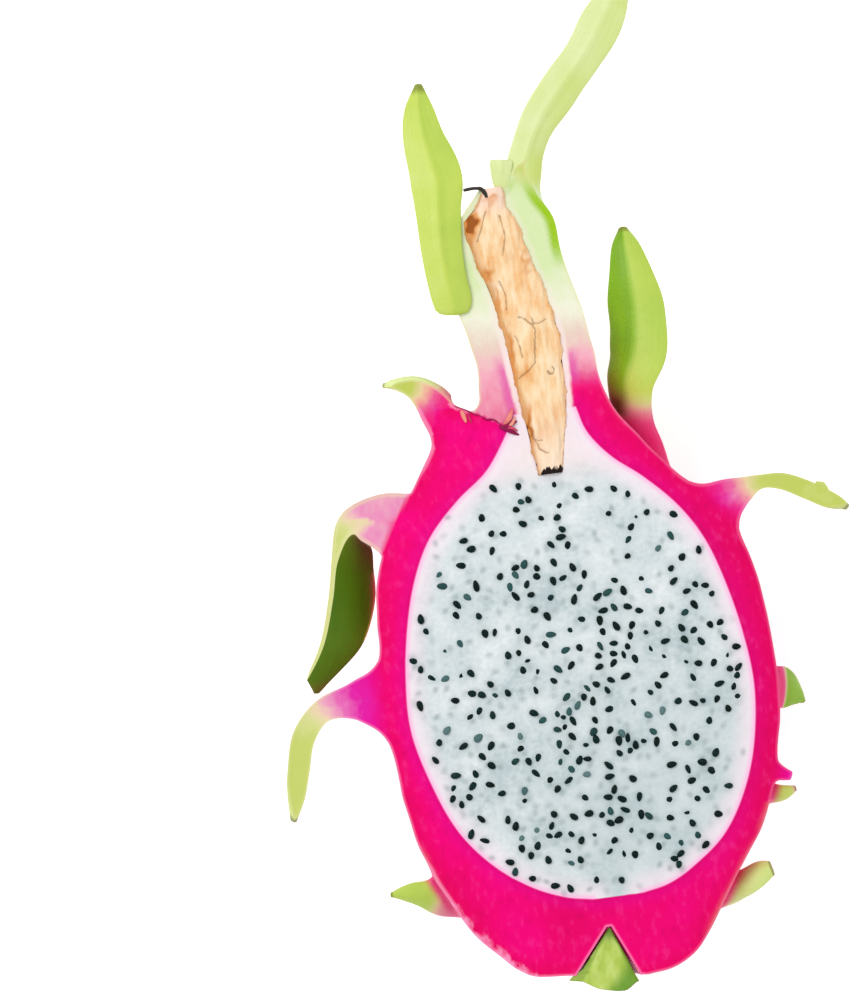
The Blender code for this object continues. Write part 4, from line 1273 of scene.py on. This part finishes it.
def cut_rind():
    """Freshly cut rind: wet, saturated magenta flesh, streaked, purer red towards the skin and on the
    right, darker beside the pulp, with a thin pale line along the skin, pale towards the dried flower
    and along the cut bracts."""
    labels = (
        "bloom", "rose", "crisp", "scar", "on_leaf", "neck", "to_pulp", "to_flower", "to_stem", "to_rim",
        "green_edge",
    )
    made, tree, numbers = new_material("freshly_cut_rind", *labels)
    bloom, rose, crisp, scar, on_leaf, neck, to_pulp, to_flower, to_stem, to_rim, green_edge = numbers
    place = add(tree, "TexCoord", out=OBJECT)
    x = add(tree, "SeparateXYZ", {"Vector": place})
    # clouds of tone about 18 mm across, and a fleshy grain of 1.4 mm drawn out along the fruit
    cloud = add(tree, "TexNoise", {"Vector": place, "Scale": 55.0, "Detail": 3.0})
    laid = add(tree, "Mapping", {"Vector": place, "Scale": (1.0, 0.55, 1.0)})
    fine = add(tree, "TexNoise", {"Vector": laid, "Scale": 700.0, "Detail": 6.0})
    stops = [(0.30, "DF0062"), (0.5, "E8006E"), (0.70, "EC007C")]
    flesh = add(tree, "ValToRGB", {0: cloud}, stops)

    # the neck's flesh, with a violet streak just off the dried flower
    ripe = add(tree, "Math", {0: fine, 1: 0.16, 2: neck}, **TIMES_PLUS)
    ripe = add(tree, "Math", {0: ripe, 1: 0.08}, **MINUS)
    neck_flesh = add(tree, "ValToRGB", {0: ripe}, NECK_STOPS)
    flesh = glazed(tree, flesh, [
        (to_rim, 0.6, 5.0, 0.55, 0.0, "DE0052"),
        (to_pulp, 0.8, 4.0, 0.45, 0.0, "DC0486"),
        (x, 0.0, 0.045, 0.0, 0.5, "CC0050"),
        (fine, 0.52, 0.74, 0.0, 0.24, "EE3C98"),
        (fine, 0.46, 0.26, 0.0, 0.30, "B80050"),
        (neck, 0.02, 0.16, 0.0, 1.0, neck_flesh),
    ])
    streak = add(tree, "MapRange", {0: to_flower, 1: 0.9, 2: 1.8}, **SMOOTH)
    steps = ((to_flower, 4.2, 2.2, 1.0), (ripe, 0.10, 0.34, 1.0), (ripe, 0.64, 0.46, 0.62))
    for number, low, high, most in steps:
        share = add(tree, "MapRange", {0: number, 1: low, 2: high, 4: most}, **SMOOTH)
        streak = add(tree, "Math", {0: streak, 1: share}, **TIMES)
    flesh = add(tree, "Mix", {0: streak, 6: flesh, 7: "D63CA0"}, **COLOURS)

    # the cut bracts
    stage = add(tree, "Math", {0: cloud, 1: 0.2, 2: bloom}, **TIMES_PLUS)
    stage = add(tree, "Math", {0: fine, 1: 0.16, 2: stage}, **TIMES_PLUS)
    stage = add(tree, "Math", {0: stage, 1: 0.18}, **MINUS)
    stops = [
        (0.0, "E0068C"), (0.16, "DA1E9E"), (0.34, "DE6AB0"), (0.50, "E4A6B8"),
        (0.64, "E2CCA8"), (0.80, "CFD28C"), (1.0, "BECA6A"),
    ]
    leaf = add(tree, "ValToRGB", {0: stage}, stops)
    stops = [*NECK_STOPS[:3], (0.50, "E4A090"), (0.68, "DEC698"), (0.9, "B8C45A")]
    rosy = add(tree, "ValToRGB", {0: stage}, stops)
    leaf = add(tree, "Mix", {0: rose, 6: leaf, 7: rosy}, **COLOURS)
    colour = add(tree, "Mix", {0: on_leaf, 6: flesh, 7: leaf}, **COLOURS)

    # dark beside the pulp, with a pale film on the border itself
    colour = glazed(tree, colour, [
        (to_pulp, 0.2, 1.3, 0.22, 0.0, "B00058"),
        (to_pulp, 0.0, 0.28, 0.7, 0.0, "F884C4"),
    ])

    # the skin's edge shows as a pale line, broader on the thin bracts and where the edge is scarred
    green = add(tree, "Math", {0: on_leaf, 1: bloom, 2: neck}, **TIMES_PLUS)
    green = add(tree, "MapRange", {0: green, 1: 0.30, 2: 0.46}, **SMOOTH)
    blush = add(tree, "Math", {0: rose, 1: green}, **TIMES)
    blush = add(tree, "Math", {0: rose, 1: blush}, **MINUS)
    wide = add(tree, "Math", {0: blush, 1: -0.4, 2: to_rim}, **TIMES_PLUS)
    wide = add(tree, "Math", {0: crisp, 1: -0.5, 2: wide}, **TIMES_PLUS)
    line = add(tree, "MapRange", {0: wide, 1: 0.0, 2: 0.70, 3: 0.85, 4: 0.0}, **SMOOTH)
    left = add(tree, "MapRange", {0: x, 1: -0.005, 2: 0.030, 3: 0.60, 4: 0.25}, **SMOOTH)
    line = add(tree, "Math", {0: line, 1: left}, **TIMES)
    pale = add(tree, "Mix", {0: green, 6: "F6A4C8", 7: "DCD8A2"}, **COLOURS)
    colour = add(tree, "Mix", {0: line, 6: colour, 7: pale}, **COLOURS)
    torn = add(tree, "Math", {0: fine, 1: 2.0, 2: scar}, **TIMES_PLUS)
    colour = glazed(tree, colour, [(torn, 1.55, 2.25, 0.0, 0.7, "F2A0C8")])
    colour = add(tree, "Mix", {0: green_edge, 6: colour, 7: "94BE1A"}, **COLOURS)

    # a papery white lining round the dried flower, and a pale line round the stem's notch
    lining = add(tree, "Math", {0: fine, 1: 0.8, 2: to_flower}, **TIMES_PLUS)
    lining = add(tree, "MapRange", {0: lining, 1: 1.2, 2: 2.2, 3: 1.0, 4: 0.0}, **SMOOTH)
    lower = add(tree, "MapRange", {0: neck, 1: 0.5, 2: 0.95, 3: 0.9, 4: 0.3}, **SMOOTH)
    lining = add(tree, "Math", {0: lining, 1: lower}, **TIMES)
    colour = add(tree, "Mix", {0: lining, 6: colour, 7: "EEDFDC"}, **COLOURS)
    colour = glazed(tree, colour, [(to_stem, 0.1, 0.7, 0.65, 0.0, "F48ABC")])
    return finished(made, colour, 0.5, 0.05, fine, 0.35, 0.0003)


def milky_pulp():
    """Wet, milky fruit flesh: bluish white with faint clouds, greyer low down, pinker towards its border
    and towards the dried flower, grey where a seed lies under the surface, and deeper round each seed."""
    made, tree, (to_edge, damp, shade) = new_material("milky_fruit_flesh", "to_edge", "damp", "shade")
    place = add(tree, "TexCoord", out=OBJECT)
    x = add(tree, "SeparateXYZ", {"Vector": place})
    y = add(tree, "SeparateXYZ", {"Vector": place}, out=1)
    # clouds of tone about 9 mm across, and the juicy grain of 1.1 mm
    cloud = add(tree, "TexNoise", {"Vector": place, "Scale": 110.0, "Detail": 5.0})
    fine = add(tree, "TexNoise", {"Vector": place, "Scale": 900.0, "Detail": 5.0})
    tone = add(tree, "Math", {0: fine, 1: 0.55, 2: cloud}, **TIMES_PLUS)
    tone = add(tree, "Math", {0: tone, 1: 0.275}, **MINUS)
    stops = [(0.26, "B4C2C5"), (0.42, "C8D2D4"), (0.58, "D3DADC"), (0.76, "E0E5E7")]
    flesh = add(tree, "ValToRGB", {0: tone}, stops)
    low = add(tree, "MapRange", {0: y, 1: 0.022, 2: -0.030, 4: 0.45}, **SMOOTH)
    right = add(tree, "MapRange", {0: x, 1: -0.024, 2: 0.004}, **SMOOTH)
    low = add(tree, "Math", {0: low, 1: right}, **TIMES)
    flesh = add(tree, "Mix", {0: low, 6: flesh, 7: "B6C4C6"}, **COLOURS)
    flesh = glazed(tree, flesh, [
        (y, (SEED_TOP - 4) * MM, (SEED_TOP + 5) * MM, 0.0, 1.0, "E9DCDE"),
        (to_edge, 0.8, 6.0, 0.85, 0.0, "EADCE4"),
        (to_edge, 0.15, 1.4, 0.95, 0.0, "F4B8DC"),
    ])
    for number, most, code in ((shade, 0.66, "5A7474"), (damp, 0.30, "8DA3A4")):
        share = add(tree, "Math", {0: number, 1: most}, **TIMES)
        flesh = add(tree, "Mix", {0: share, 6: flesh, 7: code}, **COLOURS)
    return finished(made, flesh, 0.40, 0.25, fine, 0.4, 0.00025)


def seed_coat():
    """Hard, nearly black seed coat with a blue-green cast and a damp gloss, greyer under a film of
    pulp."""
    made, tree, (tone,) = new_material("damp_seed_coat", "tone")
    stops = [(0.0, "011412"), (0.3, "042422"), (0.6, "2C5252"), (1.0, "86A0A0")]
    return finished(made, add(tree, "ValToRGB", {0: tone}, stops), 0.38, 0.10)


def dried_tissue():
    """Dead flower tissue, dried like paper: tan with long pale and orange fibres, orange-brown stains,
    thin dark cracks, a brown left edge deepened by painted shade, a pinkish top, and a blackened lower end."""
    labels = ("across", "along", "stain", "crack")
    made, tree, (across, along, stain, crack) = new_material("papery_dried_flower", *labels)
    place = add(tree, "TexCoord", out=OBJECT)
    # fibres about 1.1 mm apart and blotches about 5 mm across, both drawn out along the flower
    laid = add(tree, "Mapping", {"Vector": place, "Scale": (1.0, 0.25, 1.0)})
    grain = add(tree, "TexNoise", {"Vector": laid, "Scale": 900.0, "Detail": 6.0})
    laid = add(tree, "Mapping", {"Vector": place, "Scale": (1.0, 0.5, 1.0)})
    blotch = add(tree, "TexNoise", {"Vector": laid, "Scale": 210.0, "Detail": 4.0})
    tone = add(tree, "Math", {0: grain, 1: 0.6, 2: -0.15}, **TIMES_PLUS)
    tone = add(tree, "Math", {0: blotch, 1: 0.7, 2: tone}, **TIMES_PLUS)
    stops = [(0.28, "DE9A58"), (0.42, "EBBE8A"), (0.55, "F1D2A8"), (0.72, "F6E2C4")]
    colour = add(tree, "ValToRGB", {0: tone}, stops)
    # the left edge: a brown margin, darkened further as painted shade on the rod's left side
    left = add(tree, "Math", {0: blotch, 1: 0.5}, **TIMES)
    left = add(tree, "Math", {0: left, 1: across}, **MINUS)
    right = add(tree, "Math", {0: blotch, 1: 0.5, 2: across}, **TIMES_PLUS)
    spots = add(tree, "Math", {0: blotch, 1: 0.6, 2: -0.3}, **TIMES_PLUS)
    spots = add(tree, "Math", {0: spots, 1: stain})
    rough = add(tree, "Math", {0: grain, 1: -0.08, 2: along}, **TIMES_PLUS)
    colour = glazed(tree, colour, [
        (along, 0.30, 0.05, 0.0, 0.6, "F0D8C2"),
        (along, 0.88, 0.97, 0.0, 0.8, "F0D4C4"),
        (left, 0.90, 1.25, 0.0, 0.8, "C28040"),
        (right, 1.05, 1.30, 0.0, 0.5, "D89A60"),
        (spots, 0.15, 0.75, 0.0, 0.85, "D2843A"),
        (spots, 0.62, 1.0, 0.0, 0.85, "8A4208"),
        (crack, 0.25, 0.9, 0.0, 0.6, "7E5634"),
        (rough, -0.030, -0.022, 1.0, 0.0, "1E1410"),
    ])
    height = add(tree, "Math", {0: blotch, 1: 0.6, 2: grain}, **TIMES_PLUS)
    return finished(made, colour, 0.8, 0.15, height, 0.55, 0.0005)


def withered_filament():
    """A withered stamen: black-brown and dull, with a crumpled grain of 0.7 mm."""
    made, tree, _ = new_material("withered_stamen")
    place = add(tree, "TexCoord", out=OBJECT)
    grain = add(tree, "TexNoise", {"Vector": place, "Scale": 1500.0, "Detail": 4.0})
    colour = add(tree, "ValToRGB", {0: grain}, [(0.3, "120E0C"), (0.7, "33251C")])
    return finished(made, colour, 0.7, 0.5, grain, 0.5, 0.0003)


def torn_rind():
    """Torn rind, half dried: dark magenta red to orange pink, with a grain of 1.4 mm."""
    made, tree, (tone,) = new_material("torn_rind", "tone")
    place = add(tree, "TexCoord", out=OBJECT)
    grain = add(tree, "TexNoise", {"Vector": place, "Scale": 700.0, "Detail": 4.0})
    dry = add(tree, "Math", {0: grain, 1: 0.3, 2: -0.15}, **TIMES_PLUS)
    dry = add(tree, "Math", {0: dry, 1: tone})
    stops = [(0.0, "7A0040"), (0.3, "B80A58"), (0.6, "DC5A6C"), (0.85, "E89A80"), (1.0, "F2C0A4")]
    return finished(made, add(tree, "ValToRGB", {0: dry}, stops), 0.55, 0.2, grain, 0.4, 0.0003)


def cut_stem():
    """Cut cactus stem: pale yellow-green flesh with fibres 2 mm apart, darker green at its point and at
    its lower right corner, where the skin is left on."""
    made, tree, (across, along) = new_material("cut_cactus_stem", "across", "along")
    place = add(tree, "TexCoord", out=OBJECT)
    laid = add(tree, "Mapping", {"Vector": place, "Scale": (1.0, 0.4, 1.0)})
    fibre = add(tree, "TexNoise", {"Vector": laid, "Scale": 500.0, "Detail": 5.0})
    colour = add(tree, "ValToRGB", {0: fibre}, [(0.28, "9EB83E"), (0.5, "B2C85C"), (0.72, "C0D176")])
    corner = add(tree, "Math", {0: across, 1: 0.5, 2: along}, **TIMES_PLUS)
    side = add(tree, "Math", {0: across}, operation="ABSOLUTE")
    colour = glazed(tree, colour, [
        (corner, 0.95, 1.3, 0.0, 0.85, "528C0E"),
        (side, 0.72, 1.0, 0.0, 0.6, "6C9220"),
        (along, 0.05, 0.34, 0.85, 0.0, "3E6A10"),
    ])
    return finished(made, colour, 0.5, 0.3, fibre, 0.4, 0.0003)


def lit_floor():
    """A white light table: matt white glass, faintly lit from below, so that shadows on it stay pale."""
    made, tree, _ = new_material("white_light_table")
    shader = tree.nodes["Principled BSDF"]
    shader.inputs["Base Color"].default_value = tint("F6F6F6")
    shader.inputs["Roughness"].default_value = 0.9
    shader.inputs["Specular IOR Level"].default_value = 0.0
    shader.inputs["Emission Color"].default_value = tint("FFFFFF")
    shader.inputs["Emission Strength"].default_value = 0.45
    return made


# ---------------------------------------------------------------- the set


def make_floor():
    """A flat square, 6 m wide, just under the rest spot."""
    reach = 3.0
    corners = np.array([(-1, -1, 0), (1, -1, 0), (1, 1, 0), (-1, 1, 0)]) * reach - (0, 0, 0.0002)
    mesh = bpy.data.meshes.new("table_top")
    mesh.from_pydata(corners.tolist(), [], [(0, 1, 2, 3)])
    mesh.materials.append(lit_floor())
    linked("table_top", mesh)


def aim(made, place, target, up):
    """Puts an object at place, looking along its -Z at target, with its +Y towards up."""
    back = (Vector(place) - Vector(target)).normalized()
    right = Vector(up).cross(back).normalized()
    top = back.cross(right)
    turn = Matrix((right, top, back)).transposed().to_4x4()
    made.matrix_world = Matrix.Translation(Vector(place)) @ turn


def add_light(name, place, target, size, power):
    """A square area light, size across, in metres and watts."""
    data = bpy.data.lights.new(name, "AREA")
    data.shape = "SQUARE"
    data.size = size
    data.energy = power
    aim(linked(name, data), place, target, (0, 1, 0.01))


VIEW_LEAN = math.radians(7.6)  # how far the fruit's length leans to the left in the view
VIEW_HEIGHT = 220.0  # height of the view on the cut plane
VIEW_MIDDLE = (-27.4, 49.3)  # x and y of the view's middle on the cut plane
LENS = 110.0
SENSOR = 36.0


def make_camera():
    """Straight above the cut face, turned so that the fruit leans to the left."""
    data = bpy.data.cameras.new("camera")
    data.lens = LENS
    data.sensor_width = SENSOR
    data.clip_end = 20.0
    camera = linked("camera", data)
    distance = LENS / SENSOR * VIEW_HEIGHT
    x, y = VIEW_MIDDLE
    target = np.array([x, y, CUT_HEIGHT]) * MM
    up = (math.sin(VIEW_LEAN), math.cos(VIEW_LEAN), 0)
    aim(camera, target + (0, 0, distance * MM), target, up)
    bpy.context.scene.camera = camera


def make_light():
    """Even white surroundings, a large soft light high on the left and a weaker one on the right."""
    world = bpy.data.worlds.new("surroundings")
    world.use_nodes = True
    background = world.node_tree.nodes["Background"]
    background.inputs["Color"].default_value = tint("FFFFFF")
    background.inputs["Strength"].default_value = 0.66
    bpy.context.scene.world = world
    target = (0, 0.03, 0.03)
    add_light("soft_key", (-0.55, 0.55, 0.95), target, 0.7, 7.0)
    add_light("soft_fill", (0.7, -0.2, 0.8), target, 0.8, 2.5)
    bpy.context.scene.view_settings.view_transform = "Standard"


def main():
    make_camera()
    make_light()
    make_floor()
    skin = waxed_skin()
    make_rind([skin, cut_rind()])
    make_loose_bracts(skin)
    make_shreds(torn_rind())
    seeds, rng = scattered(SEED_COUNT, SEED_GAP, 41, SEED_MARGIN)
    turns = rng.uniform(0, 2 * math.pi, len(seeds))
    sunk, sunk_rng = scattered(SUNK_COUNT, SUNK_GAP, 42, SUNK_MARGIN)
    sunk_turns = sunk_rng.uniform(0, math.pi, len(sunk))
    sunk_depth = sunk_rng.uniform(0.25, 0.95, len(sunk))
    make_pulp(milky_pulp(), seeds, turns, sunk, sunk_turns, sunk_depth)
    make_seeds(seed_coat(), seeds, turns, rng)
    make_flower(dried_tissue())
    make_filament(withered_filament())
    make_stem(cut_stem())


main()
